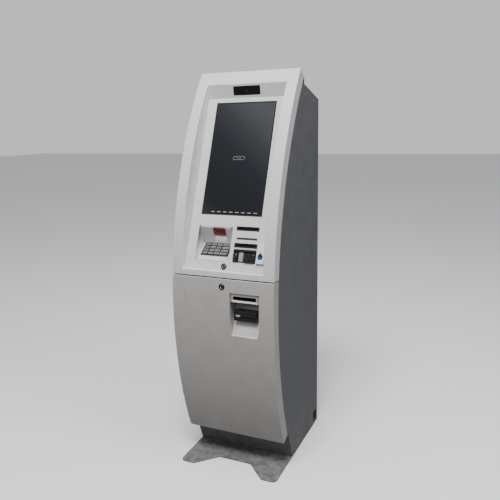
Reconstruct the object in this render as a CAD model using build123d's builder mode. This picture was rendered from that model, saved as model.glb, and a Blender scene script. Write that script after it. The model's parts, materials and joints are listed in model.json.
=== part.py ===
from build123d import *
import os
from math import asin, cos, hypot, radians, sin, sqrt

# Free-standing cash kiosk. Millimetres, +Z up, the customer stands on the -Y side.
# The origin is on the floor, in the middle of the foot plate's width and depth.

# ---- driving dimensions ----
WIDTH = 450.0  # over the side panels
DEPTH = 567.0  # foremost line of the bowed front to the rear edge of the side panels
FRONT = -DEPTH / 2 + 1  # y of the foremost line of the bow
SHEET = 2.0  # cabinet, hood and door sheet
PLATE = 5.0  # foot plate thickness
BOW_R = 1630.6  # radius of the bowed front, in side view
BOW_Z = 685.0  # height of the bow's foremost line
FLANGE = 50.0  # depth of the hood's and door's side flanges, along the bow's radius
EDGE = 52.0  # depth of the side panels' front edges behind the bow
HOOD_Z = (853.0, 1664.0)
DOOR_Z = (124.3, 849.0)
OPENING = (358.0, 877.0, 1611.0)  # hood opening: width, bottom and top
TILT = 21.68  # lean of the fascia from upright, degrees
FASCIA_MID = (200.3, 1312.5)  # middle of the screen: distance behind FRONT, height
SCREEN = (272.0, 484.0)  # visible part of the display
HALF = WIDTH / 2
INNER = HALF - SHEET  # inner face of the sides
CLEAR = 0.3  # gap between pieces that move past one another
FIT = 0.05  # radial clearance of a hinge pin
OVER = 1.0  # how far a cut runs past the faces that it opens

BOW_Y = FRONT + BOW_R


def back(distance):
    """y of a point that lies a distance behind the foremost line of the bow."""
    return FRONT + distance


def bow_y(z, inset=0.0):
    """y of the bow, or of a surface inset behind it, at a height."""
    return BOW_Y - sqrt((BOW_R - inset) ** 2 - (z - BOW_Z) ** 2)


def radial(z, inset):
    """Point (y, z) at a depth along the bow's radius that leaves the bow at height z."""
    angle = asin((z - BOW_Z) / BOW_R)
    return (BOW_Y - (BOW_R - inset) * cos(angle), BOW_Z + (BOW_R - inset) * sin(angle))


def bow_band(z_low, z_high, near, far):
    """Side-view face of a stretch of the bow between two depths, cut off along radii."""
    z_mid = (z_low + z_high) / 2
    with BuildSketch(mode=Mode.PRIVATE) as band:
        with BuildLine():
            outer = ThreePointArc(radial(z_low, near), radial(z_mid, near), radial(z_high, near))
            top = Line(outer @ 1, radial(z_high, far))
            inner = ThreePointArc(top @ 1, radial(z_mid, far), radial(z_low, far))
            Line(inner @ 1, outer @ 0)
        make_face()
    return band.sketch


def outline(points):
    """Side-view face with straight edges through the given (y, z) points."""
    with BuildSketch(mode=Mode.PRIVATE) as face:
        with BuildLine():
            Polyline(*points, close=True)
        make_face()
    return face.sketch


def across(face, x_low, x_high, mode=Mode.ADD):
    """Carries a side-view face across the width of the part being built."""
    with BuildSketch(Plane.YZ.offset(x_low)) as section:
        add(face)
    extrude(section.sketch, amount=x_high - x_low, mode=mode)


def block(low, high, mode=Mode.ADD):
    """Adds or cuts a box between two corners, in the frame of the part being built."""
    middle = tuple((a + b) / 2 for a, b in zip(low, high))
    with Locations(middle):
        Box(*(b - a for a, b in zip(low, high)), mode=mode)


def rod(start, end, radius, mode=Mode.ADD):
    """Adds or cuts a round bar between two points of the cabinet's frame."""
    path = Vector(*end) - Vector(*start)
    with BuildSketch(Plane(origin=start, z_dir=path.normalized())) as section:
        Circle(radius)
    extrude(section.sketch, amount=path.length, mode=mode)


def rounded_window(plane, box, radius, depth, mode=Mode.SUBTRACT):
    """Cuts or adds a round-cornered block, (x low, y low, x high, y high), down from a plane."""
    x_low, y_low, x_high, y_high = box
    with BuildSketch(plane) as window:
        with Locations(((x_low + x_high) / 2, (y_low + y_high) / 2)):
            RectangleRounded(x_high - x_low, y_high - y_low, radius)
    extrude(window.sketch, amount=-depth, mode=mode)


def save(piece, name):
    piece.part.label = name
    export_step(piece.part, f"parts/{name}.step")


os.makedirs("parts", exist_ok=True)

# ---- planes and points that several pieces share ----
LEAN = radians(TILT)
# Front face of the fascia: x across, y up the slope, z towards the customer.
FASCIA = Plane(
    origin=(0, back(FASCIA_MID[0]), FASCIA_MID[1]),
    x_dir=(1, 0, 0),
    z_dir=(0, -cos(LEAN), sin(LEAN)),
)
FASCIA_LOW, FASCIA_HIGH = -466.0, 262.0  # ends of the fascia, up its slope


def on_fascia(up, out=0.0):
    """Point (y, z) at a distance up the fascia and out of its face."""
    y, z = FASCIA.origin.Y, FASCIA.origin.Z
    return (y + up * sin(LEAN) - out * cos(LEAN), z + up * cos(LEAN) + out * sin(LEAN))


def sloping(start, end):
    """Plane through two (y, z) points: x across, y from start to end, z to the left of that."""
    dy, dz = end[0] - start[0], end[1] - start[1]
    length = hypot(dy, dz)
    return Plane(
        origin=(0, start[0], start[1]), x_dir=(1, 0, 0), z_dir=(0, -dz / length, dy / length)
    )


def away(point, other, near_way, far_way):
    """Point near_way along the line from point to other and far_way square to it, to the left."""
    dy, dz = other[0] - point[0], other[1] - point[1]
    length = hypot(dy, dz)
    return (
        point[0] + (near_way * dy - far_way * dz) / length,
        point[1] + (near_way * dz + far_way * dy) / length,
    )


def mitre(before, corner, after, offset):
    """Corner of a line drawn at an offset to the right of before, corner and after."""
    first, second = away(corner, before, 0, offset), away(corner, after, 0, -offset)
    middle = ((first[0] + second[0]) / 2 - corner[0], (first[1] + second[1]) / 2 - corner[1])
    stretch = offset**2 / (middle[0] ** 2 + middle[1] ** 2)
    return (corner[0] + middle[0] * stretch, corner[1] + middle[1] * stretch)


# =====================================================================
# Cabinet: foot plate, plinth, side panels, rear panel, top cover, beam
# =====================================================================
FOOT_TIP_Y = back(-2.0)
FOOT_NOTCH_Y = back(84.0)
FOOT_TIP_X, FOOT_NOTCH_X = 160.0, 74.0
FOOT_TIP_R, FOOT_NOTCH_R, FOOT_CORNER_R = 14.0, 20.0, 22.0
REAR = back(DEPTH)
ANCHOR_Y = back(385.0)
ANCHOR_SPACING = (320.0, 260.0)
ANCHOR_R = 7.0


def uprights(y, near, far):
    """Upright edges of the foot plate at a depth, between two distances from its middle line."""
    edges = foot_plate.edges().filter_by(Axis.Z)
    return [e for e in edges if abs(e.center().Y - y) < OVER and near < abs(e.center().X) < far]


with BuildPart() as foot_plate:
    with BuildSketch():
        with BuildLine():
            Polyline(
                (HALF, REAR),
                (HALF, FOOT_TIP_Y),
                (FOOT_TIP_X, FOOT_TIP_Y),
                (FOOT_NOTCH_X, FOOT_NOTCH_Y),
                (-FOOT_NOTCH_X, FOOT_NOTCH_Y),
                (-FOOT_TIP_X, FOOT_TIP_Y),
                (-HALF, FOOT_TIP_Y),
                (-HALF, REAR),
                close=True,
            )
        make_face()
    extrude(amount=PLATE)
    fillet(uprights(FOOT_NOTCH_Y, 0, HALF), radius=FOOT_NOTCH_R)
    fillet(uprights(FOOT_TIP_Y, 0, HALF - OVER), radius=FOOT_TIP_R)
    fillet(uprights(FOOT_TIP_Y, HALF - OVER, HALF + OVER), radius=FOOT_CORNER_R)
    with Locations((0, ANCHOR_Y, PLATE)):
        with GridLocations(*ANCHOR_SPACING, 2, 2):
            Hole(radius=ANCHOR_R)
save(foot_plate, "foot_plate")

PLINTH_FOOT = (back(203.0), PLATE)
PLINTH_HEAD = (back(152.0), 143.5)
PLINTH_TURN = 24.0  # width of the plinth's turned-in edges

with BuildPart() as plinth_front:
    head_inside = away(PLINTH_HEAD, PLINTH_FOOT, SHEET, SHEET)
    foot_inside = away(PLINTH_FOOT, PLINTH_HEAD, SHEET, -SHEET)
    across(
        outline(
            [
                PLINTH_FOOT,
                PLINTH_HEAD,
                (PLINTH_HEAD[0] + PLINTH_TURN, PLINTH_HEAD[1]),
                (PLINTH_HEAD[0] + PLINTH_TURN, PLINTH_HEAD[1] - SHEET),
                (head_inside[0], PLINTH_HEAD[1] - SHEET),
                (foot_inside[0], PLATE + SHEET),
                (PLINTH_FOOT[0] + PLINTH_TURN, PLATE + SHEET),
                (PLINTH_FOOT[0] + PLINTH_TURN, PLATE),
            ]
        ),
        -INNER,
        INNER,
    )
save(plinth_front, "plinth_front")

# Top edge of the side panels, which slopes down to the rear.
ROOF_FRONT = (back(362.0), 1606.0)
ROOF_FALL = 0.2788


def roof_z(y, below=0.0):
    return ROOF_FRONT[1] - ROOF_FALL * (y - ROOF_FRONT[0]) - below


SIDE_EDGE_LOW = PLINTH_HEAD[1]  # where the bowed front edge of a side panel starts
SIDE_EDGE_MID = 900.0
EDGE_TOP_Z = 1609.6  # where it meets the sloping top edge
RETURN = 20.0  # width of the side panels' turned-in edges
RETURN_BAND = (150.0, 1618.0)  # heights of the front edge's turned-in strip
REAR_RETURN = (6.0, 4.0)  # front and rear faces of the rear strip, ahead of the rear edge
CABLE_NOTCH = (back(505.0), 12.0, back(557.0), 66.0)
NOTCH_R = 6.0
HINGE_Y, HINGE_Z = back(359.4), 1624.4  # hood hinge
STRUT_REACH = 200.0  # from the hood hinge to each end of the gas strut
STRUT_X = 192.0
STRUT_BASE_ANGLE, STRUT_TIP_ANGLE = radians(-40.0), radians(-125.0)
STRUT_BASE, STRUT_TIP = (
    (HINGE_Y + STRUT_REACH * cos(angle), HINGE_Z + STRUT_REACH * sin(angle))
    for angle in (STRUT_BASE_ANGLE, STRUT_TIP_ANGLE)
)
STUD_R = 4.0
STUD_END = 6.0  # how far a stud reaches past the strut's middle plane
SCREW_R, SCREW_HOLE_R = 2.5, 2.6
HEAD_R, HEAD_HEIGHT = 4.5, 1.6
REAR_SCREW_SPOTS = [(x, z) for x in (-212.0, 0.0, 212.0) for z in (26.0, 950.0, 1524.0)]
SCREW_SPOTS = (
    (back(384.0), 1563.0),
    (back(494.0), 1538.0),
    (back(548.0), 1180.0),
    (back(548.0), 700.0),
    (back(548.0), 220.0),
    (back(230.0), 60.0),
)


def side_panel(sign):
    """Side panel with turned-in front and rear edges; sign is -1 for left and 1 for right."""
    outer = sorted((sign * HALF, sign * INNER))
    inner = sorted((sign * INNER, sign * (INNER - RETURN)))
    with BuildPart() as panel:
        with BuildSketch(Plane.YZ.offset(outer[0])) as side:
            with BuildLine():
                start = (bow_y(SIDE_EDGE_LOW, EDGE), SIDE_EDGE_LOW)
                middle = (bow_y(SIDE_EDGE_MID, EDGE), SIDE_EDGE_MID)
                end = (bow_y(EDGE_TOP_Z, EDGE), EDGE_TOP_Z)
                ThreePointArc(start, middle, end)
                Polyline(end, (REAR, roof_z(REAR)), (REAR, PLATE), PLINTH_FOOT, PLINTH_HEAD, start)
            make_face()
        extrude(side.sketch, amount=SHEET)
        across(bow_band(*RETURN_BAND, EDGE, EDGE + SHEET), *inner)
        strip_front, strip_rear = REAR - REAR_RETURN[0], REAR - REAR_RETURN[1]
        block((inner[0], strip_front, PLATE), (inner[1], strip_rear, roof_z(REAR, 3.0)))
        if sign > 0:
            y_low, z_low, y_high, z_high = CABLE_NOTCH
            with BuildSketch(Plane.YZ.offset(INNER - OVER)) as notch:
                with Locations(((y_low + y_high) / 2, (z_low + z_high) / 2)):
                    RectangleRounded(y_high - y_low, z_high - z_low, NOTCH_R)
            extrude(notch.sketch, amount=SHEET + 2 * OVER, mode=Mode.SUBTRACT)
        else:
            rod((-INNER, *STRUT_BASE), (-STRUT_X + STUD_END, *STRUT_BASE), STUD_R)
        for spot in SCREW_SPOTS:
            inside, outside = sign * (INNER - OVER), sign * (HALF + OVER)
            rod((inside, *spot), (outside, *spot), SCREW_HOLE_R, mode=Mode.SUBTRACT)
        for x, z in REAR_SCREW_SPOTS:
            if x * sign > 0:
                near, far = strip_front - 2 * OVER, strip_rear + OVER
                rod((x, near, z), (x, far, z), SCREW_HOLE_R, mode=Mode.SUBTRACT)
    return panel


left_side_panel = side_panel(-1)
save(left_side_panel, "left_side_panel")
right_side_panel = side_panel(1)
save(right_side_panel, "right_side_panel")

# Rear panel, inside the sides and 2 mm in front of their rear edges.
REAR_FACE = REAR - 2.0
FAN_AT = (0.0, 1430.0)
FAN_R = 55.0
GRILLE_PITCH, SLIT = 9.0, 5.0
LOUVRE_LEVELS = [300.0 + 16.0 * i for i in range(14)]
LOUVRE_X, LOUVRE_W = 95.0, 120.0
INLET_AT = (-130.0, 92.0)
INLET_HOLE = (34.0, 50.0)


def rear_window(x_low, z_low, x_high, z_high):
    """Cuts a window right through the rear panel."""
    near, far = REAR_FACE - SHEET - OVER, REAR_FACE + OVER
    block((x_low, near, z_low), (x_high, far, z_high), mode=Mode.SUBTRACT)


with BuildPart() as rear_panel:
    block((-INNER, REAR_FACE - SHEET, PLATE), (INNER, REAR_FACE, roof_z(REAR, 4.5)))
    for step in range(-5, 6):
        rise = GRILLE_PITCH * step
        half = sqrt(FAN_R**2 - rise**2)
        z = FAN_AT[1] + rise
        rear_window(FAN_AT[0] - half, z - SLIT / 2, FAN_AT[0] + half, z + SLIT / 2)
    for z in LOUVRE_LEVELS:
        for x in (-LOUVRE_X, LOUVRE_X):
            rear_window(x - LOUVRE_W / 2, z - SLIT / 2, x + LOUVRE_W / 2, z + SLIT / 2)
    x, z = INLET_AT
    half_w, half_h = INLET_HOLE[0] / 2, INLET_HOLE[1] / 2
    rear_window(x - half_w, z - half_h, x + half_w, z + half_h)
    for x, z in REAR_SCREW_SPOTS:
        near, far = REAR_FACE - SHEET - OVER, REAR_FACE + OVER
        rod((x, near, z), (x, far, z), SCREW_HOLE_R, mode=Mode.SUBTRACT)
save(rear_panel, "rear_panel")

# Screws: a shank through the sheet and a head outside it.
SHANK = 6.0  # length of a shank inside the sheet
SUNK = 0.5  # how far the shank runs into the head

with BuildPart() as cover_screws:
    for sign in (-1, 1):
        for spot in SCREW_SPOTS:
            rod((sign * (INNER - SHANK), *spot), (sign * (HALF + SUNK), *spot), SCREW_R)
            rod((sign * HALF, *spot), (sign * (HALF + HEAD_HEIGHT), *spot), HEAD_R)
    for x, z in REAR_SCREW_SPOTS:
        rod((x, REAR_FACE - SHANK - SHEET, z), (x, REAR_FACE + SUNK, z), SCREW_R)
        rod((x, REAR_FACE, z), (x, REAR_FACE + HEAD_HEIGHT, z), HEAD_R)
save(cover_screws, "cover_screws")

UPSTAND_Y = back(374.0)
UPSTAND_Z = (1586.0, 1630.0)

with BuildPart() as top_cover:
    across(
        outline(
            [
                (UPSTAND_Y, UPSTAND_Z[0]),
                (UPSTAND_Y, UPSTAND_Z[1]),
                (UPSTAND_Y + SHEET, UPSTAND_Z[1]),
                (UPSTAND_Y + SHEET, roof_z(UPSTAND_Y + SHEET)),
                (REAR, roof_z(REAR)),
                (REAR, roof_z(REAR, SHEET + 0.1)),
                (UPSTAND_Y + SHEET, roof_z(UPSTAND_Y + SHEET, SHEET + 0.1)),
                (UPSTAND_Y + SHEET, UPSTAND_Z[0]),
            ]
        ),
        -INNER,
        INNER,
    )
save(top_cover, "top_cover")

BEAM_Y = (back(66.0), back(100.0))
BEAM_Z = (836.0, 864.0)
BEAM_WEB_Z = 850.0

with BuildPart() as cross_beam:
    block((-INNER, BEAM_Y[0], BEAM_Z[0]), (INNER, BEAM_Y[0] + SHEET, BEAM_Z[1]))
    block((-INNER, BEAM_Y[1] - SHEET, BEAM_Z[0]), (INNER, BEAM_Y[1], BEAM_Z[1]))
    block((-INNER, BEAM_Y[0], BEAM_WEB_Z - 1), (INNER, BEAM_Y[1], BEAM_WEB_Z + 1))
save(cross_beam, "cross_beam")

# Hood hinge brackets, one each side, with the pins that the hood's ears turn on.
PIN_R = 4.0
EYE_R = 7.5
BRACKET_X = (211.0, 215.0)
EAR_X = (205.0, 209.0)
FOOT_X = (204.0, 222.0)  # the brackets' feet on the upstand
FOOT_Z = (1588.0, 1606.0)
FOOT_GAUGE = 2.5
PIN_END, PIN_HEAD = 200.0, (2.0, 2.5)  # inner end of the pins, and how far and how long their heads stand out


def hinge_bracket(sign):
    """Bracket arm, its foot on the upstand and the hinge pin, on one side."""
    arm = sorted((sign * BRACKET_X[0], sign * BRACKET_X[1]))
    foot = sorted((sign * FOOT_X[0], sign * FOOT_X[1]))
    across(
        outline(
            [
                (HINGE_Y - 4.6, HINGE_Z - 5.2),
                (HINGE_Y + 5.6, HINGE_Z - 4.0),
                (UPSTAND_Y, FOOT_Z[1]),
                (UPSTAND_Y, FOOT_Z[0]),
                (UPSTAND_Y - 3, FOOT_Z[0]),
            ]
        ),
        *arm,
    )
    rod((arm[0], HINGE_Y, HINGE_Z), (arm[1], HINGE_Y, HINGE_Z), EYE_R)
    block((foot[0], UPSTAND_Y - FOOT_GAUGE, FOOT_Z[0]), (foot[1], UPSTAND_Y, FOOT_Z[1]))
    pin = sorted((sign * PIN_END, sign * (BRACKET_X[0] + OVER)))
    rod((pin[0], HINGE_Y, HINGE_Z), (pin[1], HINGE_Y, HINGE_Z), PIN_R)
    head = sorted((sign * PIN_END, sign * (PIN_END + PIN_HEAD[1])))
    rod((head[0], HINGE_Y, HINGE_Z), (head[1], HINGE_Y, HINGE_Z), PIN_R + PIN_HEAD[0])


with BuildPart() as hood_hinge_brackets:
    hinge_bracket(-1)
    hinge_bracket(1)
save(hood_hinge_brackets, "hood_hinge_brackets")

# Lower door hinges: lift-off leaves outside the left side, on one upright axis.
DOOR_AXIS = (-HALF - 6.5, back(75.0))
KNUCKLE_R = 5.5
DOOR_PIN_R = 3.0
LEAF = 2.5
# For each hinge: its low and high ends, and how far back its two leaves end.
DOOR_HINGES_Z = ((270.0, 330.0, 137.0, 48.0), (730.0, 790.0, 112.0, 14.0))

with BuildPart() as door_hinge_leaves:
    for low, high, rear_end, front_end in DOOR_HINGES_Z:
        middle = (low + high) / 2
        rod((*DOOR_AXIS, low), (*DOOR_AXIS, middle - CLEAR), KNUCKLE_R)
        rod((*DOOR_AXIS, middle - 1), (*DOOR_AXIS, high - 4), DOOR_PIN_R)
        block(
            (-HALF - LEAF, DOOR_AXIS[1], low),
            (-HALF, back(rear_end), middle - CLEAR),
        )
save(door_hinge_leaves, "door_hinge_leaves")

with BuildPart() as door_hinge_knuckles:
    for low, high, rear_end, front_end in DOOR_HINGES_Z:
        middle = (low + high) / 2
        rod((*DOOR_AXIS, middle + CLEAR), (*DOOR_AXIS, high), KNUCKLE_R)
        block(
            (-HALF - LEAF, back(front_end), middle + CLEAR),
            (-HALF, DOOR_AXIS[1], high),
        )
        rod((*DOOR_AXIS, middle), (*DOOR_AXIS, high + 1), DOOR_PIN_R + FIT, mode=Mode.SUBTRACT)
save(door_hinge_knuckles, "door_hinge_knuckles")

# =====================================================================
# Equipment on the rear panel and behind the beam
# =====================================================================
PANEL_INSIDE = REAR_FACE - SHEET

PC_W, PC_DEPTH, PC_Z = 180.0, 64.0, (640.0, 860.0)
FIN_PITCH, FIN_GAP, FIN_DEPTH, FIN_END = 16.0, 10.0, 12.0, 10.0

with BuildPart() as industrial_pc:
    pc_front = PANEL_INSIDE - PC_DEPTH
    block((-PC_W / 2, pc_front, PC_Z[0]), (PC_W / 2, PANEL_INSIDE, PC_Z[1]))
    for step in range(-5, 6):
        x = FIN_PITCH * step
        block(
            (x - FIN_GAP / 2, pc_front - OVER, PC_Z[0] + FIN_END),
            (x + FIN_GAP / 2, pc_front + FIN_DEPTH, PC_Z[1] - FIN_END),
            mode=Mode.SUBTRACT,
        )
save(industrial_pc, "industrial_pc")

SUPPLY_W, SUPPLY_DEPTH, SUPPLY_Z = 120.0, 45.0, (190.0, 282.0)
VENT_PITCH, VENT_W, VENT_Z, VENT_DEPTH = 12.0, 5.0, (205.0, 265.0), 3.0

with BuildPart() as power_supply:
    supply_front = PANEL_INSIDE - SUPPLY_DEPTH
    block((-SUPPLY_W / 2, supply_front, SUPPLY_Z[0]), (SUPPLY_W / 2, PANEL_INSIDE, SUPPLY_Z[1]))
    for step in range(8):
        x = VENT_PITCH * (step - 4)
        block(
            (x, supply_front - OVER, VENT_Z[0]),
            (x + VENT_W, supply_front + VENT_DEPTH, VENT_Z[1]),
            mode=Mode.SUBTRACT,
        )
save(power_supply, "power_supply")

FAN_DEPTH = 26.0
FAN_HALF, FAN_BORE = 60.0, 57.0
SPIDER, SPIDER_W = 3.0, 6.0  # thickness and width of the arms that carry the fan's hub
HUB_R, ROTOR_HUB_R, ROTOR_DEPTH = 18.0, 19.0, 20.0
ROTOR_MID, SPINDLE_MID = 12.0, 14.0  # depths of the middles of the rotor and the spindle
BLADES, BLADE_LENGTH, BLADE_CHORD, BLADE_PITCH = 7, 38.0, 24.0, 38.0
BLADE_AT = 36.0
FAN_SPIN = Plane(origin=(FAN_AT[0], PANEL_INSIDE, FAN_AT[1]), x_dir=(1, 0, 0), z_dir=(0, -1, 0))
SPINDLE_R = 3.0

with BuildPart(FAN_SPIN) as fan_frame:
    block((-FAN_HALF, -FAN_HALF, 0), (FAN_HALF, FAN_HALF, FAN_DEPTH))
    with Locations((0, 0, FAN_DEPTH / 2)):
        Cylinder(FAN_BORE, FAN_DEPTH + 2 * OVER, mode=Mode.SUBTRACT)
    arm, arm_low = FAN_HALF - OVER, FAN_DEPTH - SPIDER
    block((-arm, -SPIDER_W / 2, arm_low), (arm, SPIDER_W / 2, FAN_DEPTH))
    block((-SPIDER_W / 2, -arm, arm_low), (SPIDER_W / 2, arm, FAN_DEPTH))
    with Locations((0, 0, FAN_DEPTH - SPIDER / 2)):
        Cylinder(HUB_R, SPIDER)
    with Locations((0, 0, SPINDLE_MID)):
        Cylinder(SPINDLE_R, ROTOR_DEPTH)
save(fan_frame, "fan_frame")

with BuildPart(FAN_SPIN) as fan_rotor:
    with Locations((0, 0, ROTOR_MID)):
        Cylinder(ROTOR_HUB_R, ROTOR_DEPTH)
    for blade in range(BLADES):
        with Locations(Rotation(0, 0, 360 / BLADES * blade)):
            with Locations(Location((BLADE_AT, 0, ROTOR_MID), (BLADE_PITCH, 0, 0))):
                Box(BLADE_LENGTH, BLADE_CHORD, SHEET)
    with Locations((0, 0, ROTOR_MID)):
        Cylinder(SPINDLE_R + FIT, 24, mode=Mode.SUBTRACT)
save(fan_rotor, "fan_rotor")

# Power inlet with its switch, through the rear panel near the floor.
INLET = Plane(origin=(INLET_AT[0], REAR_FACE, INLET_AT[1]), x_dir=(-1, 0, 0), z_dir=(0, 1, 0))
ROCKER_AT, ROCKER_W = 14.0, 15.0
ROCKER_TIP = radians(8.0)  # tilt at rest, one half pressed in


def tipped(up, out):
    """Point of the rocker's side view after it tips about its pivot."""
    rise, reach = up - ROCKER_AT, out + 3.0
    return (
        ROCKER_AT + rise * cos(ROCKER_TIP) - reach * sin(ROCKER_TIP),
        -3.0 + rise * sin(ROCKER_TIP) + reach * cos(ROCKER_TIP),
    )


with BuildPart(INLET) as power_inlet:
    block((-21, -29, 0), (21, 29, 1.8))
    block((-16.5, -24.5, -30), (16.5, 24.5, 0))
    block((-12, -20, -16), (12, 2, 3), mode=Mode.SUBTRACT)
    for x, y in ((-7, -12), (7, -12), (0, -6)):
        block((x - 1, y - 2, -16.5), (x + 1, y + 2, -4))
    block((-8.5, ROCKER_AT - 8.5, -14), (8.5, ROCKER_AT + 8.5, 3), mode=Mode.SUBTRACT)
save(power_inlet, "power_inlet")

with BuildPart(INLET) as rocker_switch:
    rocker_side = Plane(INLET.origin - INLET.x_dir * ROCKER_W / 2, x_dir=INLET.y_dir, z_dir=INLET.x_dir)
    with BuildSketch(rocker_side) as rocker:
        with BuildLine():
            Polyline(
                tipped(ROCKER_AT - 7.2, 0.9),
                tipped(ROCKER_AT, -0.6),
                tipped(ROCKER_AT + 7.2, 0.9),
                tipped(ROCKER_AT + 5.4, -6.5),
                tipped(ROCKER_AT - 5.4, -6.5),
                close=True,
            )
        make_face()
    extrude(rocker.sketch, amount=ROCKER_W)
save(rocker_switch, "rocker_switch")

# Cash dispenser on the beam, its mouth right behind the outlet in the door's pocket.
OUTLET_X = (49.0, 149.0)
OUTLET_Z = (767.0, 782.5)
DISPENSER_Z = (760.0, 834.0)
NOSE_Y = back(14.5)

with BuildPart() as cash_dispenser:
    block((28, back(104), DISPENSER_Z[0] + 2), (170, back(330), DISPENSER_Z[1]))
    block((46.5, NOSE_Y, OUTLET_Z[0] - 2.5), (151.5, back(106), OUTLET_Z[1] + 2.5))
    block(
        (OUTLET_X[0] + OVER, NOSE_Y - OVER, OUTLET_Z[0] + OVER),
        (OUTLET_X[1] - OVER, back(76), OUTLET_Z[1] - OVER),
        mode=Mode.SUBTRACT,
    )
    block((28, back(100), DISPENSER_Z[1] - 2), (170, back(110), BEAM_Z[0]))
save(cash_dispenser, "cash_dispenser")

# =====================================================================
# Hood: bowed frame, fascia and everything on the fascia
# =====================================================================
BROW_TOP = (bow_y(OPENING[2]), OPENING[2])
BROW_LOW = on_fascia(FASCIA_HIGH)
SILL_FRONT = (bow_y(OPENING[1]), OPENING[1])
SILL_REAR = on_fascia(FASCIA_LOW)
RECESS = OPENING[0] / 2  # half width of the recess
BROW = sloping(BROW_LOW, BROW_TOP)  # front face of the brow: x across, y up, z to the customer
CAMERA = (-60.5, 61.5, 9.5, 47.0)  # x low, x high, up from the brow's foot

with BuildPart() as hood_frame:
    across(bow_band(*HOOD_Z, 0, FLANGE), -HALF, HALF)
    inside = bow_band(HOOD_Z[0] + 2.0, HOOD_Z[1] - 2.5, SHEET, FLANGE + 20)
    across(inside, -INNER, INNER, mode=Mode.SUBTRACT)
    block((-RECESS, FRONT - 5, OPENING[1]), (RECESS, back(345), OPENING[2]), mode=Mode.SUBTRACT)
    # side walls of the recess, from the bow down to the fascia
    recess_wall = outline(
        [
            SILL_FRONT,
            (back(-5), OPENING[1]),
            (back(-5), OPENING[2]),
            BROW_TOP,
            BROW_LOW,
            SILL_REAR,
        ]
    )
    for sign in (-1, 1):
        wall = sorted((sign * RECESS, sign * (RECESS + SHEET)))
        across(recess_wall & bow_band(860.0, 1640.0, 1.0, 200.0), *wall)
    # brow and sill
    across(
        outline(
            [
                BROW_TOP,
                BROW_LOW,
                away(BROW_LOW, BROW_TOP, 0.6, -SHEET),
                away(BROW_TOP, BROW_LOW, 0, SHEET),
            ]
        ),
        -RECESS - 1,
        RECESS + 1,
    )
    across(
        outline(
            [
                SILL_FRONT,
                SILL_REAR,
                away(SILL_REAR, SILL_FRONT, 1.2, SHEET),
                away(SILL_FRONT, SILL_REAR, 0, -SHEET),
            ]
        ),
        -RECESS - 1,
        RECESS + 1,
    )
    block(
        (-RECESS - SHEET, BROW_TOP[0] + 0.8, OPENING[2] - 0.5),
        (RECESS + SHEET, BROW_TOP[0] + 6, OPENING[2] + 3),
    )
    rounded_window(BROW.offset(5), (CAMERA[0], CAMERA[2], CAMERA[1], CAMERA[3]), 2, 12)
    # ears that turn on the hinge pins, hanging from the top flange
    flange_way = asin((HOOD_Z[1] - BOW_Z) / BOW_R)
    up_y, up_z = sin(flange_way), cos(flange_way)
    along_y, along_z = cos(flange_way), -sin(flange_way)
    ear = [
        (HINGE_Y + rise * up_y + shift * along_y, HINGE_Z + rise * up_z + shift * along_z)
        for rise, shift in ((0, -EYE_R), (10.8, -EYE_R), (10.8, EYE_R - 1), (0, EYE_R))
    ]
    for sign in (-1, 1):
        plate = sorted((sign * EAR_X[0], sign * EAR_X[1]))
        across(outline(ear), *plate)
        rod((plate[0], HINGE_Y, HINGE_Z), (plate[1], HINGE_Y, HINGE_Z), EYE_R)
        bore = sorted((sign * (EAR_X[0] - 1), sign * (EAR_X[1] + 1)))
        rod((bore[0], HINGE_Y, HINGE_Z), (bore[1], HINGE_Y, HINGE_Z), PIN_R + FIT, mode=Mode.SUBTRACT)
    rod((-RECESS - OVER, *STRUT_TIP), (-STRUT_X - STUD_END, *STRUT_TIP), STUD_R)
save(hood_frame, "hood_frame")

# Openings in the fascia, as (x low, up low, x high, up high).
BAY = (-135.0, -434.0, 17.0, -289.0)
SLOT_1 = (35.0, -300.0, 132.0, -285.5)
SLOT_2 = (39.5, -338.0, 128.0, -329.5)
SLOT_3 = (34.5, -369.0, 132.0, -353.0)
READER = (34.0, -430.0, 133.0, -376.5)
FINGER = (136.5, -431.0, 169.5, -350.5)
FINGER_THIN, FINGER_THICK = 2.5, 9.0
SENSOR = (9.5, 15.5, 31.0)  # half width, half height and distance from the foot
LOCK_UP = -450.5
LOCK_R = 9.5
RING_R = 13.0

with BuildPart() as fascia_panel:
    with BuildSketch(FASCIA) as sheet:
        with Locations((0, (FASCIA_LOW + FASCIA_HIGH) / 2)):
            Rectangle(2 * (RECESS + SHEET), FASCIA_HIGH - FASCIA_LOW)
    extrude(sheet.sketch, amount=-SHEET)
    screen_window = (-SCREEN[0] / 2, -SCREEN[1] / 2, SCREEN[0] / 2, SCREEN[1] / 2)
    for window in (screen_window, BAY, SLOT_1, SLOT_2, SLOT_3, READER):
        rounded_window(FASCIA.offset(1), window, 0.4, 4)
    with BuildSketch(FASCIA.offset(1)) as lock_hole:
        with Locations((0, LOCK_UP)):
            Circle(LOCK_R)
    extrude(lock_hole.sketch, amount=-4, mode=Mode.SUBTRACT)
save(fascia_panel, "fascia_panel")

GLASS_GAP = 0.3
with BuildPart(FASCIA) as display_glass:
    half_w, half_h = SCREEN[0] / 2 - GLASS_GAP, SCREEN[1] / 2 - GLASS_GAP
    block((-half_w, -half_h, -4.0), (half_w, half_h, -0.8))
save(display_glass, "display_glass")

with BuildPart(FASCIA) as display_module:
    block((-152, -256, -44), (152, 256, -SHEET))
    block((-half_w - 1, -half_h - 1, -4.0), (half_w + 1, half_h + 1, 0), mode=Mode.SUBTRACT)
    for x in (-110, -55, 0, 55, 110):
        block((x - 12, -180, -45), (x + 12, 180, -40), mode=Mode.SUBTRACT)
save(display_module, "display_module")

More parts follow.
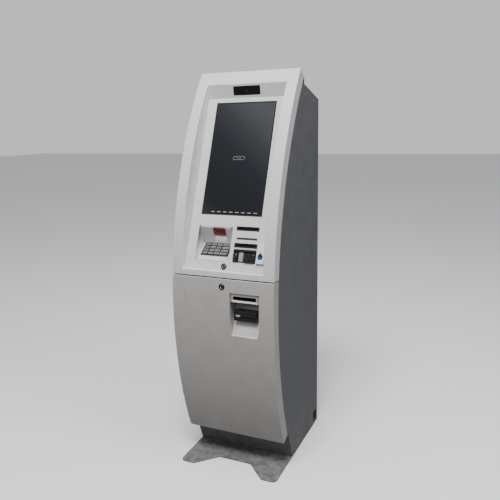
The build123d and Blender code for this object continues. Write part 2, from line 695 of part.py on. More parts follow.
with BuildPart(BROW) as camera_window:
    pane = (CAMERA[0] + CLEAR, CAMERA[2] + CLEAR, CAMERA[1] - CLEAR, CAMERA[3] - CLEAR)
    rounded_window(BROW.offset(0.6), pane, 2 - CLEAR, 6.6, mode=Mode.ADD)
    block((CAMERA[0] - 6, CAMERA[2] - 5, -14), (CAMERA[1] + 6, CAMERA[3] + 1.5, -SHEET - 0.05))
save(camera_window, "camera_window")

# Keypad bay: a three-sided sheet pocket. Its back wall carries the scanner, its shelf the keypad.
BAY_TOP = on_fascia(BAY[3])
BAY_LOW = on_fascia(BAY[1])
BAY_DEEP = (back(123.0), 969.0)
SHELF = sloping(BAY_LOW, BAY_DEEP)
WALL = sloping(BAY_DEEP, BAY_TOP)  # x across, y up the wall, z into the bay
WALL_LENGTH = hypot(BAY_TOP[0] - BAY_DEEP[0], BAY_TOP[1] - BAY_DEEP[1])
SCAN_WINDOW = (-77.0, WALL_LENGTH - 44.0, -21.0, WALL_LENGTH - 10.0)
KEYPAD = (-121.0, 29.0, 3.0, 99.0)  # on the shelf: x low, up low, x high, up high

with BuildPart() as keypad_bay:
    shell = outline(
        [
            away(BAY_LOW, BAY_DEEP, -6, -SHEET),
            mitre(BAY_LOW, BAY_DEEP, BAY_TOP, SHEET),
            away(BAY_TOP, BAY_DEEP, -6, SHEET),
        ]
    )
    hollow = outline(
        [
            away(BAY_LOW, BAY_DEEP, -12, 0),
            BAY_DEEP,
            away(BAY_TOP, BAY_DEEP, -12, 0),
            on_fascia(BAY[3], 30),
            on_fascia(BAY[1], 30),
        ]
    )
    across(shell, BAY[0] - SHEET, BAY[2] + SHEET)
    across(hollow, BAY[0], BAY[2], mode=Mode.SUBTRACT)
    split(bisect_by=FASCIA.offset(-SHEET), keep=Keep.BOTTOM)
    rounded_window(WALL.offset(3), SCAN_WINDOW, 4, 8)
    x_low, y_low, x_high, y_high = KEYPAD
    rounded_window(SHELF.offset(3), (x_low + 4, y_low + 4, x_high - 4, y_high - 4), 1, 8)
save(keypad_bay, "keypad_bay")

with BuildPart(WALL) as code_scanner:
    x_low, y_low, x_high, y_high = SCAN_WINDOW
    lens = (x_low + 0.2, y_low + 0.2, x_high - 0.2, y_high - 0.2)
    rounded_window(WALL.offset(0.8), lens, 3.8, 6, mode=Mode.ADD)
    block((x_low - 5, y_low - 5, -34), (x_high + 5, y_high + 5, -SHEET - 0.05))
save(code_scanner, "code_scanner")

# Keypad: four rows of three number keys and one wide function key.
PLATE_TOP = 2.0
KEY_ROWS, ROW_PITCH, KEY_UP = 4, 15.5, 11.5
NUMBER_W, FUNCTION_W, KEY_GAP = 21.0, 31.0, 5.0
KEY_MARGIN = 7.5
KEY_CLEAR = 0.4
KEY_NAMES = (
    ("key_star", "key_0", "key_hash", "key_menu"),
    ("key_7", "key_8", "key_9", "key_enter"),
    ("key_4", "key_5", "key_6", "key_clear"),
    ("key_1", "key_2", "key_3", "key_cancel"),
)


def key_spots():
    """Yields (name, x middle, up middle, width) of each key, bottom row first."""
    for row in range(KEY_ROWS):
        up = KEYPAD[1] + 6.0 + KEY_UP / 2 + ROW_PITCH * row
        x = KEYPAD[0] + KEY_MARGIN
        for column, name in enumerate(KEY_NAMES[row]):
            width = FUNCTION_W if column == 3 else NUMBER_W
            yield name, x + width / 2, up, width
            x += width + KEY_GAP


with BuildPart(SHELF) as keypad_plate:
    block((KEYPAD[0], KEYPAD[1], 0.0), (KEYPAD[2], KEYPAD[3], PLATE_TOP))
    block((KEYPAD[0] + 4.3, KEYPAD[1] + 4.3, -9), (KEYPAD[2] - 4.3, KEYPAD[3] - 4.3, 0.0))
    for name, x, up, width in key_spots():
        with Locations((x, up, -1.5)):
            Box(width + 2 * KEY_CLEAR, KEY_UP + 2 * KEY_CLEAR, 10.0, mode=Mode.SUBTRACT)
save(keypad_plate, "keypad_plate")

KEY_LOW, KEY_HIGH = -3.4, 5.0
for name, x, up, width in key_spots():
    with BuildPart(SHELF) as key:
        with Locations((x, up, (KEY_LOW + KEY_HIGH) / 2)):
            Box(width, KEY_UP, KEY_HIGH - KEY_LOW)
        crown = max(key.faces(), key=lambda face: (face.center() - SHELF.origin).dot(SHELF.z_dir))
        chamfer(crown.edges(), length=1.2)
    save(key, name)


def slot_bezel(window, slot_height, proud):
    """Frame that fills a fascia slot, with a flat rim in front and a slit through it."""
    x_low, y_low, x_high, y_high = window
    middle = (y_low + y_high) / 2
    with BuildPart(FASCIA) as bezel:
        block((x_low + 0.2, y_low + 0.2, -12), (x_high - 0.2, y_high - 0.2, 0))
        block((x_low - 1.2, y_low - 1.2, 0), (x_high + 1.2, y_high + 1.2, proud))
        block(
            (x_low + 7, middle - slot_height / 2, -13),
            (x_high - 7, middle + slot_height / 2, proud + OVER),
            mode=Mode.SUBTRACT,
        )
    return bezel


printer_bezel = slot_bezel(SLOT_1, 3.6, 1.5)
save(printer_bezel, "printer_bezel")
card_slot_bezel = slot_bezel(SLOT_3, 3.0, 1.5)
save(card_slot_bezel, "card_slot_bezel")

# Receipt printer behind the top slot, its roll on a spindle in an open cradle.
ROLL_AT = (-292.0, -118.0)  # up the fascia and into the machine
ROLL_R, ROLL_CORE, ROLL_LENGTH = 27.0, 8.0, 80.0
CRADLE_UP = (-326.0, -266.0)
CRADLE_IN = (-150.0, -78.0)
CHEEK = 4.0

with BuildPart(FASCIA) as receipt_printer:
    block((34, -312, CRADLE_IN[1]), (133, -274, -12.2))  # mechanism behind the slot
    for x in (38.0, 125.0):  # cradle's cheeks, each with a foot
        block((x, CRADLE_UP[0] + 10, CRADLE_IN[0]), (x + CHEEK, CRADLE_UP[1], CRADLE_IN[1] + 8))
        block((x, CRADLE_UP[0], CRADLE_IN[1]), (x + CHEEK, -312, CRADLE_IN[1] + 8))
        block((x, CRADLE_UP[0], CRADLE_IN[0]), (x + CHEEK, -312, CRADLE_IN[1] + 8))
    block((38, CRADLE_UP[0], CRADLE_IN[0]), (129, CRADLE_UP[0] + CHEEK, CRADLE_IN[1] + 8))  # cradle's floor
    with Locations(Location((83.5, ROLL_AT[0], ROLL_AT[1]), (0, 90, 0))):
        Cylinder(ROLL_CORE, 85)
    block((37, -341, -30), (130.5, -326.5, -2.2))  # chute behind the plain slit
    block((60, -345, -60), (110, -322, -29))
save(receipt_printer, "receipt_printer")

with BuildPart(FASCIA) as paper_roll:
    with Locations(Location((83.5, ROLL_AT[0], ROLL_AT[1]), (0, 90, 0))):
        Cylinder(ROLL_R, ROLL_LENGTH)
        Cylinder(ROLL_CORE + FIT, ROLL_LENGTH + 2 * OVER, mode=Mode.SUBTRACT)
save(paper_roll, "paper_roll")

# Card reader: deep body, black mouth with two bulging guides and a grey tongue between them.
with BuildPart(FASCIA) as card_reader:
    x_low, y_low, x_high, y_high = READER
    block((x_low + 0.2, y_low + 0.2, -10), (x_high - 0.2, y_high - 0.2, 1.5))
    block((x_low + 8, y_low - 2, -110), (x_high - 8, y_high - 4, -9))
    with Locations((x_low + 12, (y_low + y_high) / 2, 5)):
        Box(21, y_high - y_low - 5, 10)
    with Locations((x_high - 25, (y_low + y_high) / 2, 6)):
        Box(46, y_high - y_low - 5, 12)
    rims = [e for e in card_reader.edges() if (e.center() - FASCIA.origin).dot(FASCIA.z_dir) > 9]
    fillet(rims, radius=3.5)
    block((x_low + 25.5, y_low + 3, 1), (x_low + 45.5, y_high - 12, 6))
    block((x_low + 6, y_high - 16, -60), (x_high - 6, y_high - 13, 20), mode=Mode.SUBTRACT)
save(card_reader, "card_reader")

# Fingerprint reader: a wedge that stands out further at its foot.
with BuildPart() as fingerprint_reader:
    x_low, y_low, x_high, y_high = FINGER
    across(
        outline(
            [
                on_fascia(y_high),
                on_fascia(y_high, FINGER_THIN),
                on_fascia(y_low, FINGER_THICK),
                on_fascia(y_low),
            ]
        ),
        x_low,
        x_high,
    )
    corners = [
        e
        for e in fingerprint_reader.edges()
        if min(abs(e.length - FINGER_THICK), abs(e.length - FINGER_THIN)) < 0.1
    ]
    fillet(corners, radius=1.2)
    FINGER_FACE = sloping(on_fascia(y_low, FINGER_THICK), on_fascia(y_high, FINGER_THIN))
    with BuildSketch(FINGER_FACE.offset(0.5)) as pad:
        with Locations(((x_low + x_high) / 2, SENSOR[2])):
            Ellipse(SENSOR[0], SENSOR[1])
    extrude(pad.sketch, amount=-2.5, mode=Mode.SUBTRACT)
    with BuildSketch(FINGER_FACE.offset(-2.0)) as lens:
        with Locations(((x_low + x_high) / 2, SENSOR[2])):
            Ellipse(SENSOR[0] - 0.9, SENSOR[1] - 0.9)
    extrude(lens.sketch, amount=1.2)
save(fingerprint_reader, "fingerprint_reader")


LOCK_LENGTH = 30.0
RING_HEIGHT = 3.0
PLUG_R, SHAFT_R = 6.0, 4.0
CAM_HALF = 1.5  # half of the cam's thickness


def lock_barrel(plane, length):
    """Ring and sleeve of a cam lock whose face lies on a plane."""
    with BuildPart(plane) as barrel:
        with Locations((0, 0, RING_HEIGHT / 2)):
            Cylinder(RING_R, RING_HEIGHT)
        with Locations((0, 0, RING_HEIGHT - length / 2)):
            Cylinder(LOCK_R - 0.1, length)
        with Locations((0, 0, -length / 2)):
            Cylinder(PLUG_R + FIT, length + 12, mode=Mode.SUBTRACT)
    return barrel


def lock_core(plane, length, cam_depth, cam_reach):
    """Plug with a key slot, its drive shaft and the cam at the far end, lying sideways."""
    with BuildPart(plane) as core:
        with Locations((0, 0, 2.4 - length / 2)):
            Cylinder(PLUG_R, length)
        with Locations((0, 0, -cam_depth / 2)):
            Cylinder(SHAFT_R, cam_depth)
        block((-PLUG_R, -PLUG_R, -cam_depth - CAM_HALF), (cam_reach, PLUG_R, -cam_depth + CAM_HALF))
        block((-0.9, -4.0, 0.4), (0.9, 4.0, 3), mode=Mode.SUBTRACT)
    return core


UPPER_LOCK = Plane(
    origin=(0, *on_fascia(LOCK_UP)), x_dir=(1, 0, 0), z_dir=(0, -cos(LEAN), sin(LEAN))
)
upper_lock_barrel = lock_barrel(UPPER_LOCK, LOCK_LENGTH)
save(upper_lock_barrel, "upper_lock_barrel")
upper_lock_core = lock_core(UPPER_LOCK, LOCK_LENGTH, cam_depth=58.0, cam_reach=18.0)
save(upper_lock_core, "upper_lock_core")

# =====================================================================
# Gas strut between the left side panel and the hood
# =====================================================================
STRUT_LINE = (STRUT_TIP[0] - STRUT_BASE[0], STRUT_TIP[1] - STRUT_BASE[1])
STRUT_LENGTH = hypot(*STRUT_LINE)
CYLINDER_END, CYLINDER_R, GAS_ROD_R = 165.0, 9.0, 4.0


def strut_point(distance):
    """Point on the strut's centre line at a distance from its base."""
    share = distance / STRUT_LENGTH
    return (-STRUT_X, STRUT_BASE[0] + share * STRUT_LINE[0], STRUT_BASE[1] + share * STRUT_LINE[1])


def strut_eye(at):
    """Disc round a stud; stud_bore cuts its hole."""
    rod((-STRUT_X - 4, *at), (-STRUT_X + 4, *at), STUD_R + 4.5)


def stud_bore(at):
    """Hole that an end of the strut turns on its stud with."""
    near, far = -STRUT_X - STUD_END, -STRUT_X + STUD_END
    rod((near, *at), (far, *at), STUD_R + FIT, mode=Mode.SUBTRACT)


with BuildPart() as strut_cylinder:
    rod(strut_point(12.0), strut_point(CYLINDER_END), CYLINDER_R)
    rod(strut_point(20.0), strut_point(CYLINDER_END - 6), GAS_ROD_R + 2.5, mode=Mode.SUBTRACT)
    rod(strut_point(CYLINDER_END - 8), strut_point(CYLINDER_END + 2), GAS_ROD_R + 0.4, mode=Mode.SUBTRACT)
    rod(strut_point(5.0), strut_point(14.0), 4.0)
    strut_eye(STRUT_BASE)
    stud_bore(STRUT_BASE)
save(strut_cylinder, "strut_cylinder")

with BuildPart() as strut_rod:
    rod(strut_point(24.0), strut_point(STRUT_LENGTH - 5), GAS_ROD_R)
    strut_eye(STRUT_TIP)
    stud_bore(STRUT_TIP)
save(strut_rod, "strut_rod")

# =====================================================================
# Lower door: bowed shell, blank plate, cash pocket, bill acceptor, lock
# =====================================================================
POCKET = (36.0, 619.0, 163.0, 796.0)  # x low, z low, x high, z high
BLANK = (-168.0, 617.0, -35.0, 796.0)
DOOR_LOCK = (2.0, 818.0)
LOCK_RISE = asin((DOOR_LOCK[1] - BOW_Z) / BOW_R)
LOWER_LOCK = Plane(
    origin=(DOOR_LOCK[0], *radial(DOOR_LOCK[1], -0.1)),
    x_dir=(1, 0, 0),
    z_dir=(0, -cos(LOCK_RISE), sin(LOCK_RISE)),
)

with BuildPart() as door_shell:
    across(bow_band(*DOOR_Z, 0, FLANGE), -HALF, HALF)
    across(bow_band(DOOR_Z[0] + 2.2, DOOR_Z[1] - 2.0, SHEET, FLANGE + 20), -INNER, INNER, mode=Mode.SUBTRACT)
    front_plane = Plane(origin=(0, FRONT - 5, 0), x_dir=(1, 0, 0), z_dir=(0, -1, 0))
    rounded_window(front_plane, POCKET, 1.0, 20)
    rounded_window(front_plane, BLANK, 7.0, 20)
    with BuildSketch(LOWER_LOCK.offset(2)) as lock_hole:
        Circle(LOCK_R)
    extrude(lock_hole.sketch, amount=-8, mode=Mode.SUBTRACT)
save(door_shell, "door_shell")

with BuildPart() as blank_plate:
    gap = 0.5
    x_low, z_low, x_high, z_high = BLANK
    across(bow_band(z_low + gap, z_high - gap, 0, SHEET), x_low + gap, x_high - gap)
    fillet([e for e in blank_plate.edges() if 1.9 < e.length < 2.1], radius=6.5)
    across(bow_band(z_low - 10, z_high + 10, SHEET, SHEET + 1.5), x_low - 10, x_high + 10)
save(blank_plate, "blank_plate")

# Pocket section: outlet plate near the front, then a roof, a sloping back and a sill.
POCKET_FACE = back(10.0)
POCKET_ROOF = 757.0
POCKET_DEEP = (back(70.0), POCKET_ROOF)
POCKET_SILL = (back(9.0), 622.0)
BILL = (50.5, 680.0, 148.5, 720.0)  # bill mouth: x low, z low, x high, z high
BILL_LIP = 3.0  # how far its rim covers the pocket's window

with BuildPart() as cash_pocket:
    x_low, z_low, x_high, z_high = POCKET
    rim_low = (bow_y(z_low, SHEET), z_low)
    hollow = outline(
        [
            (back(-5), z_high),
            (POCKET_FACE, z_high),
            (POCKET_FACE, POCKET_ROOF),
            POCKET_DEEP,
            POCKET_SILL,
            rim_low,
            (back(-5), z_low),
        ]
    )
    skin = outline(
        [
            (back(-5), z_high + SHEET),
            (POCKET_FACE + SHEET, z_high + SHEET),
            (POCKET_FACE + SHEET, POCKET_ROOF + SHEET),
            (POCKET_DEEP[0] + 3.5, POCKET_ROOF + SHEET),
            away(POCKET_SILL, POCKET_DEEP, -1.5, -SHEET),
            (rim_low[0], z_low - SHEET),
            (back(-5), z_low - SHEET),
        ]
    )
    across(skin, x_low - SHEET, x_high + SHEET)
    across(hollow, x_low, x_high, mode=Mode.SUBTRACT)
    across(bow_band(500.0, 900.0, -40.0, SHEET), x_low - 10, x_high + 10, mode=Mode.SUBTRACT)
    block(
        (OUTLET_X[0], POCKET_FACE - 3, OUTLET_Z[0]),
        (OUTLET_X[1], POCKET_FACE + 5, OUTLET_Z[1]),
        mode=Mode.SUBTRACT,
    )
    block(
        (BILL[0] + BILL_LIP, back(8), BILL[1] + BILL_LIP),
        (BILL[2] - BILL_LIP, back(80), BILL[3] - BILL_LIP),
        mode=Mode.SUBTRACT,
    )
save(cash_pocket, "cash_pocket")

# Bill mouth: stands on the pocket's sloping back, upright face, its neck runs through the back.
BILL_FACE = back(10.0)
BILL_SLIT = (15.0, 3.6)  # height of the slit above the mouth's foot, and its own height
RIB_PITCH, RIB_DEPTH = 4.5, 1.2
HEAD_Y = back(78.0)  # front of the acceptor's body


def pocket_back_y(z):
    """y of the pocket's sloping back at a height."""
    share = (z - POCKET_SILL[1]) / (POCKET_DEEP[1] - POCKET_SILL[1])
    return POCKET_SILL[0] + share * (POCKET_DEEP[0] - POCKET_SILL[0])


with BuildPart() as bill_bezel:
    x_low, z_low, x_high, z_high = BILL
    across(
        outline(
            [
                (BILL_FACE + 4, z_low),
                (BILL_FACE, z_low + 5),
                (BILL_FACE, z_high),
                (pocket_back_y(z_high), z_high),
                (pocket_back_y(z_low), z_low),
            ]
        ),
        x_low,
        x_high,
    )
    lip = BILL_LIP + 0.2
    block((x_low + lip, pocket_back_y(z_low) - 4, z_low + lip), (x_high - lip, HEAD_Y, z_high - lip))
    mouth_z = z_low + BILL_SLIT[0]
    block(
        (x_low + 9, BILL_FACE - OVER, mouth_z),
        (x_high - 9, back(60), mouth_z + BILL_SLIT[1]),
        mode=Mode.SUBTRACT,
    )
    for step in range(4):
        rib_z = z_high - 4.0 - RIB_PITCH * step
        block(
            (x_low + 30, BILL_FACE - OVER, rib_z - 1.0),
            (x_high - 4, BILL_FACE + RIB_DEPTH, rib_z),
            mode=Mode.SUBTRACT,
        )
save(bill_bezel, "bill_bezel")

with BuildPart() as bill_acceptor:
    block((49.5, HEAD_Y, 636), (149.5, back(150), 750))
    block((56, HEAD_Y - 1, 690), (143, HEAD_Y + 20, 700), mode=Mode.SUBTRACT)
    for x in (53.0, 146.0):
        block((x - 2, back(149), 604), (x + 2, back(250), 616))
    block((51, back(140), 604), (148, back(150), 640))
save(bill_acceptor, "bill_acceptor")

# Cash box: an open case behind the acceptor, its rear lid and a handle on it.
CASE_X, CASE_Z = (50.5, 148.5), (618.0, 750.0)
CASE_Y = (back(151), back(285))
HANDLE_X = (80.0, 119.0)

with BuildPart() as cash_box:
    block((CASE_X[0], CASE_Y[0], CASE_Z[0]), (CASE_X[1], CASE_Y[1], CASE_Z[1]))
    block((57, CASE_Y[0] + OVER, 642), (142, CASE_Y[1] + OVER, 744), mode=Mode.SUBTRACT)
    block((CASE_X[0], back(279), 630), (CASE_X[1], back(283), CASE_Z[1]))
    block((HANDLE_X[0], back(284.5), 700), (HANDLE_X[1], back(290), 724))
    block((HANDLE_X[0] + 4, back(284), 704), (HANDLE_X[1] - 4, back(288), 720), mode=Mode.SUBTRACT)
    block((HANDLE_X[0], back(282), 724), (HANDLE_X[1], back(290), 728))
save(cash_box, "cash_box")

lower_lock_barrel = lock_barrel(LOWER_LOCK, LOCK_LENGTH)
save(lower_lock_barrel, "lower_lock_barrel")
lower_lock_core = lock_core(LOWER_LOCK, LOCK_LENGTH, cam_depth=70.0, cam_reach=34.0)
save(lower_lock_core, "lower_lock_core")
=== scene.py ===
"""Looks of a slim free-standing cash kiosk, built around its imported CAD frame.

Metres, +Z up, the customer stands on the -Y side. Every sheet-metal skin, moulding and screw that shows is a
surface worked out with numpy; the machinery inside keeps its CAD shape and gets a finish.
"""
import json
import logging
from dataclasses import dataclass, field
from enum import Enum
from math import atan2, cos, hypot, pi, radians, sin

import bmesh
import bpy
import numpy as np
from mathutils import Matrix, Vector


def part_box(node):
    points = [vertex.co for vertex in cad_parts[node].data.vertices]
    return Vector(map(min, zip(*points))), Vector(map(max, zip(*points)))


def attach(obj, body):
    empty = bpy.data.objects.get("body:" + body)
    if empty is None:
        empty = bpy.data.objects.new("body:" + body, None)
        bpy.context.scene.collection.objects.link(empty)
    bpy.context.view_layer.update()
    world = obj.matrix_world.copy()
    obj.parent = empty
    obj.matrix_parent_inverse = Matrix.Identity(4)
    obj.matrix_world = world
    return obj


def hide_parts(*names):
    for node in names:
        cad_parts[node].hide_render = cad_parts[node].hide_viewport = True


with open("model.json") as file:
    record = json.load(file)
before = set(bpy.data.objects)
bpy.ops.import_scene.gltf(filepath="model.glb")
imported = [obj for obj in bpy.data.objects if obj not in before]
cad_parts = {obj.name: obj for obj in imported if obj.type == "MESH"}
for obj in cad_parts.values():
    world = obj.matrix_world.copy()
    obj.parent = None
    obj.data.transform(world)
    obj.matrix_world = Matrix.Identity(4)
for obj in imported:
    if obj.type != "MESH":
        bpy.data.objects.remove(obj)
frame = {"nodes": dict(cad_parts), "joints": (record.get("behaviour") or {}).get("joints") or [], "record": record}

log = logging.getLogger("kiosk")
Array = np.ndarray
Colour = tuple[float, float, float]
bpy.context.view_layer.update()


# ---------------------------------------------------------------- places
@dataclass(frozen=True)
class Axes:
    """A right-handed set of local axes: x across, y up the face, z out of it."""

    origin: tuple[float, float, float]
    x: tuple[float, float, float]
    y: tuple[float, float, float]

    @property
    def z(self) -> Array:
        """Direction out of the face."""
        return np.cross(self.x, self.y)

    def place(self, points: Array) -> Array:
        """Carries points from these axes to the cabinet's frame.

        Args:
            points: an array whose last axis is (x, y, z).

        Returns:
            The same points, as origin + x * X + y * Y + z * Z.
        """
        turn = np.array([self.x, self.y, self.z])
        return np.asarray(self.origin) + np.asarray(points) @ turn

    def moved(self, x: float = 0.0, y: float = 0.0, z: float = 0.0) -> "Axes":
        """The same axes with their origin shifted along themselves."""
        return Axes(tuple(self.place(np.array([x, y, z]))), self.x, self.y)


def leaning(origin: tuple[float, float, float], rise: tuple[float, float]) -> Axes:
    """Axes whose x runs across the cabinet and whose y climbs along (dy, dz).

    Args:
        origin: the point where the axes start.
        rise: direction of climb in side view, of any length.

    Returns:
        The axes, with z towards the customer for a face that leans back.
    """
    length = hypot(*rise)
    return Axes(tuple(origin), (1.0, 0.0, 0.0), (0.0, rise[0] / length, rise[1] / length))


@dataclass(frozen=True)
class Bow:
    """The bowed front, part of a cylinder whose axis runs across the cabinet."""

    front: float
    level: float = 0.685
    radius: float = 1.6306

    def point(self, x: Array, z: Array, inset: Array | float = 0.0) -> Array:
        """Points a depth below the bow, along the radius that leaves it at height z.

        With a = arcsin((z - level) / radius) and r = radius - inset, a point is
        (x, front + radius - r cos a, level + r sin a).

        Args:
            x: distance across, from the middle.
            z: height where the radius leaves the bow.
            inset: depth along the radius.

        Returns:
            An array of points, broadcast over the arguments.
        """
        x, z, inset = np.broadcast_arrays(np.asarray(x, float), z, inset)
        angle = np.arcsin((z - self.level) / self.radius)
        reach = self.radius - inset
        y = self.front + self.radius - reach * np.cos(angle)
        return np.stack([x, y, self.level + reach * np.sin(angle)], axis=-1)

    def y(self, z: float, inset: float = 0.0) -> float:
        """Depth of the surface inset behind the bow at a height."""
        reach = self.radius - inset
        return self.front + self.radius - float(np.sqrt(reach**2 - (z - self.level) ** 2))

    def axes(self, x: float, z: float) -> Axes:
        """Axes that lie on the bow at a point, with z straight out of it."""
        angle = float(np.arcsin((z - self.level) / self.radius))
        return Axes(tuple(self.point(x, z)), (1.0, 0.0, 0.0), (0.0, sin(angle), cos(angle)))


# ---------------------------------------------------------------- mesh drafting
class Draft:
    """Gathers faces that are worked out as whole arrays and welds them into one mesh."""

    WELD = 2e-6

    def __init__(self) -> None:
        """Starts with nothing drawn."""
        self._points: list[Array] = []
        self._faces: list[Array] = []
        self._count = 0

    def store(self, points: Array, faces: Array) -> None:
        """Keeps points and the faces that index them."""
        self._points.append(points.reshape(-1, 3))
        self._faces.append(faces + self._count)
        self._count += len(points.reshape(-1, 3))

    def grid(self, points: Array, keep: Array | None = None) -> "Draft":
        """Adds the quads of a grid of points.

        Args:
            points: array of shape (rows, columns, 3).
            keep: mask of the cells to draw, of shape (rows - 1, columns - 1).

        Returns:
            This draft.
        """
        rows, columns = points.shape[:2]
        index = np.arange(rows * columns).reshape(rows, columns)
        quads = np.stack([index[:-1, :-1], index[1:, :-1], index[1:, 1:], index[:-1, 1:]], axis=-1)
        chosen = quads.reshape(-1, 4) if keep is None else quads[keep]
        self.store(points, chosen)
        return self

    def face(self, loop: Array) -> "Draft":
        """Adds one flat face through a loop of points."""
        self.store(loop, np.arange(len(loop))[None, :])
        return self

    def loft(self, rings: Array, caps: bool = True) -> "Draft":
        """Skins closed rings of the same count, one after another.

        Args:
            rings: array of shape (levels, points, 3).
            caps: whether the first and last ring are closed by flat faces.

        Returns:
            This draft.
        """
        self.grid(np.concatenate([rings, rings[:, :1]], axis=1))
        if caps:
            self.face(rings[0][::-1])
            self.face(rings[-1])
        return self

    def tube(self, rings: Array) -> "Draft":
        """Skins closed rings and joins the last to the first, as round a pipe's wall."""
        return self.loft(np.concatenate([rings, rings[:1]]), caps=False)

    def finish(self, name: str, facing: tuple[float, float, float] | None = None) -> bpy.types.Object:
        """Welds the draft and makes it an object at the origin.

        Args:
            name: the piece's name.
            facing: for an open skin, a direction: the face furthest that way is turned to look that way.

        Returns:
            The object, smooth shaded, with its faces outwards.
        """
        points = np.concatenate(self._points)
        keys = np.round(points / self.WELD).astype(np.int64)
        _, first, lookup = np.unique(keys, axis=0, return_index=True, return_inverse=True)
        lookup = lookup.reshape(-1)
        faces = [face for block in self._faces for face in lookup[block].tolist()]
        mesh = bpy.data.meshes.new(name)
        mesh.from_pydata(points[first].tolist(), [], faces)
        shape = bmesh.new()
        shape.from_mesh(mesh)
        bmesh.ops.recalc_face_normals(shape, faces=shape.faces)
        if facing is not None:
            way = Vector(facing)
            foremost = max(shape.faces,
                           key=lambda f: f.calc_center_median().dot(way) + 1e-3 * abs(f.normal.dot(way)))
            if foremost.normal.dot(way) < 0:
                bmesh.ops.reverse_faces(shape, faces=shape.faces)
        shape.to_mesh(mesh)
        shape.free()
        mesh.polygons.foreach_set("use_smooth", np.ones(len(mesh.polygons), bool))
        piece = bpy.data.objects.new(name, mesh)
        bpy.context.scene.collection.objects.link(piece)
        return piece


def circle(radius: float, count: int = 48) -> Array:
    """Points of a circle, (r cos t, r sin t) for t once round."""
    turn = np.linspace(0.0, 2 * pi, count, endpoint=False)
    return radius * np.stack([np.cos(turn), np.sin(turn)], axis=-1)


def rounded_outline(corners: Array, radii: Array | float, steps: int = 6) -> Array:
    """A polygon with arcs in place of its corners.

    At each corner the arc is tangent to both sides: it starts r / tan(h) before the corner, h being half of
    the corner's angle, and its centre lies r / sin(h) along the bisector.

    Args:
        corners: polygon of shape (n, 2).
        radii: arc radius of each corner, or one for all.
        steps: spans in each arc.

    Returns:
        Outline of shape (n * (steps + 1), 2).
    """
    corners = np.asarray(corners, float)
    radii = np.broadcast_to(np.asarray(radii, float), len(corners))[:, None]
    before = np.roll(corners, 1, axis=0) - corners
    after = np.roll(corners, -1, axis=0) - corners
    before /= np.linalg.norm(before, axis=1, keepdims=True)
    after /= np.linalg.norm(after, axis=1, keepdims=True)
    half = np.arccos(np.clip((before * after).sum(1), -1, 1))[:, None] / 2
    bisector = before + after
    bisector /= np.linalg.norm(bisector, axis=1, keepdims=True)
    centre = corners + bisector * radii / np.sin(half)
    start = corners + before * radii / np.tan(half) - centre
    end = corners + after * radii / np.tan(half) - centre
    first = np.arctan2(start[:, 1], start[:, 0])
    sweep = np.arctan2(end[:, 1], end[:, 0]) - first
    sweep = (sweep + pi) % (2 * pi) - pi
    angle = first[:, None] + sweep[:, None] * np.linspace(0, 1, steps + 1)
    arcs = centre[:, None] + radii[:, None] * np.stack([np.cos(angle), np.sin(angle)], axis=-1)
    return arcs.reshape(-1, 2)


def rounded_box(box: tuple[float, float, float, float], radius: float, steps: int = 5) -> Array:
    """Outline of a rectangle (x low, y low, x high, y high) with round corners."""
    x0, y0, x1, y1 = box
    return rounded_outline(np.array([(x0, y0), (x1, y0), (x1, y1), (x0, y1)]), radius, steps)


def lifted(outline: Array, height: Array | float) -> Array:
    """Gives a flat outline a height above its face."""
    return np.concatenate([outline, np.broadcast_to(height, (len(outline), 1))], axis=1)


def moulded(box: tuple[float, float, float, float], low: float, high: float, radius: float, roll: float,
            steps: int = 4) -> Array:
    """Rings of a block with round corners and a rolled front edge.

    The sides rise straight from low to high - roll. From there ring k is drawn in by roll (1 - cos t) and
    rises by roll sin t, with t from 0 to a right angle.

    Args:
        box: (x low, y low, x high, y high) of its outline.
        low: height of its back.
        high: height of its face.
        radius: corner radius of the outline.
        roll: radius of the front edge.
        steps: spans in the roll.

    Returns:
        Array of rings, of shape (levels, points, 3).
    """
    x0, y0, x1, y1 = box
    turn = np.linspace(0, pi / 2, steps + 1)
    insets = np.concatenate([[0.0], roll * (1 - np.cos(turn))])
    heights = np.concatenate([[low], high - roll + roll * np.sin(turn)])
    rings = [
        lifted(rounded_box((x0 + s, y0 + s, x1 - s, y1 - s), max(radius - s, 2e-4)), h)
        for s, h in zip(insets, heights)
    ]
    return np.array(rings)


def lathe(profile: list[tuple[float, float]], count: int = 48) -> Array:
    """Rings of a turned shape: each (radius, height) of the profile goes once round the z axis."""
    return np.array([lifted(circle(radius, count), height) for radius, height in profile])


def prism(outline: Array, low: float, high: float) -> Array:
    """Rings of a flat outline raised from one height to another."""
    return np.array([lifted(outline, low), lifted(outline, high)])


def bar(start: Array, end: Array, profile: list[tuple[float, float]], count: int = 32) -> Array:
    """Rings of a turned shape laid between two points.

    Args:
        start: point where the profile's height is 0.
        end: point where its height is 1.
        profile: (radius, share of the way) pairs.
        count: points round it.

    Returns:
        Rings round the line from start to end.
    """
    start, end = np.asarray(start, float), np.asarray(end, float)
    way = (end - start) / np.linalg.norm(end - start)
    side = np.cross(way, (0.0, 0.0, 1.0) if abs(way[2]) < 0.9 else (1.0, 0.0, 0.0))
    side /= np.linalg.norm(side)
    axes = Axes(tuple(start), tuple(side), tuple(np.cross(way, side)))
    length = np.linalg.norm(end - start)
    return axes.place(lathe([(radius, share * length) for radius, share in profile], count))


@dataclass(frozen=True)
class Window:
    """A hole in a sheet, (x low, y low, x high, y high), with a corner radius or square when it is 0."""

    box: tuple[float, float, float, float]
    radius: float = 0.0


def cuts(low: float, high: float, spacing: float, needed: list[float]) -> Array:
    """Grid levels from low to high that include every needed value and keep their spacing from it."""
    count = max(int(round((high - low) / spacing)), 1)
    plain = np.linspace(low, high, count + 1)
    fixed = np.unique(np.round([low, high, *needed], 7))
    clear = np.abs(plain[:, None] - fixed[None, :]).min(1) > 0.45 * spacing
    return np.unique(np.concatenate([plain[clear], fixed]))


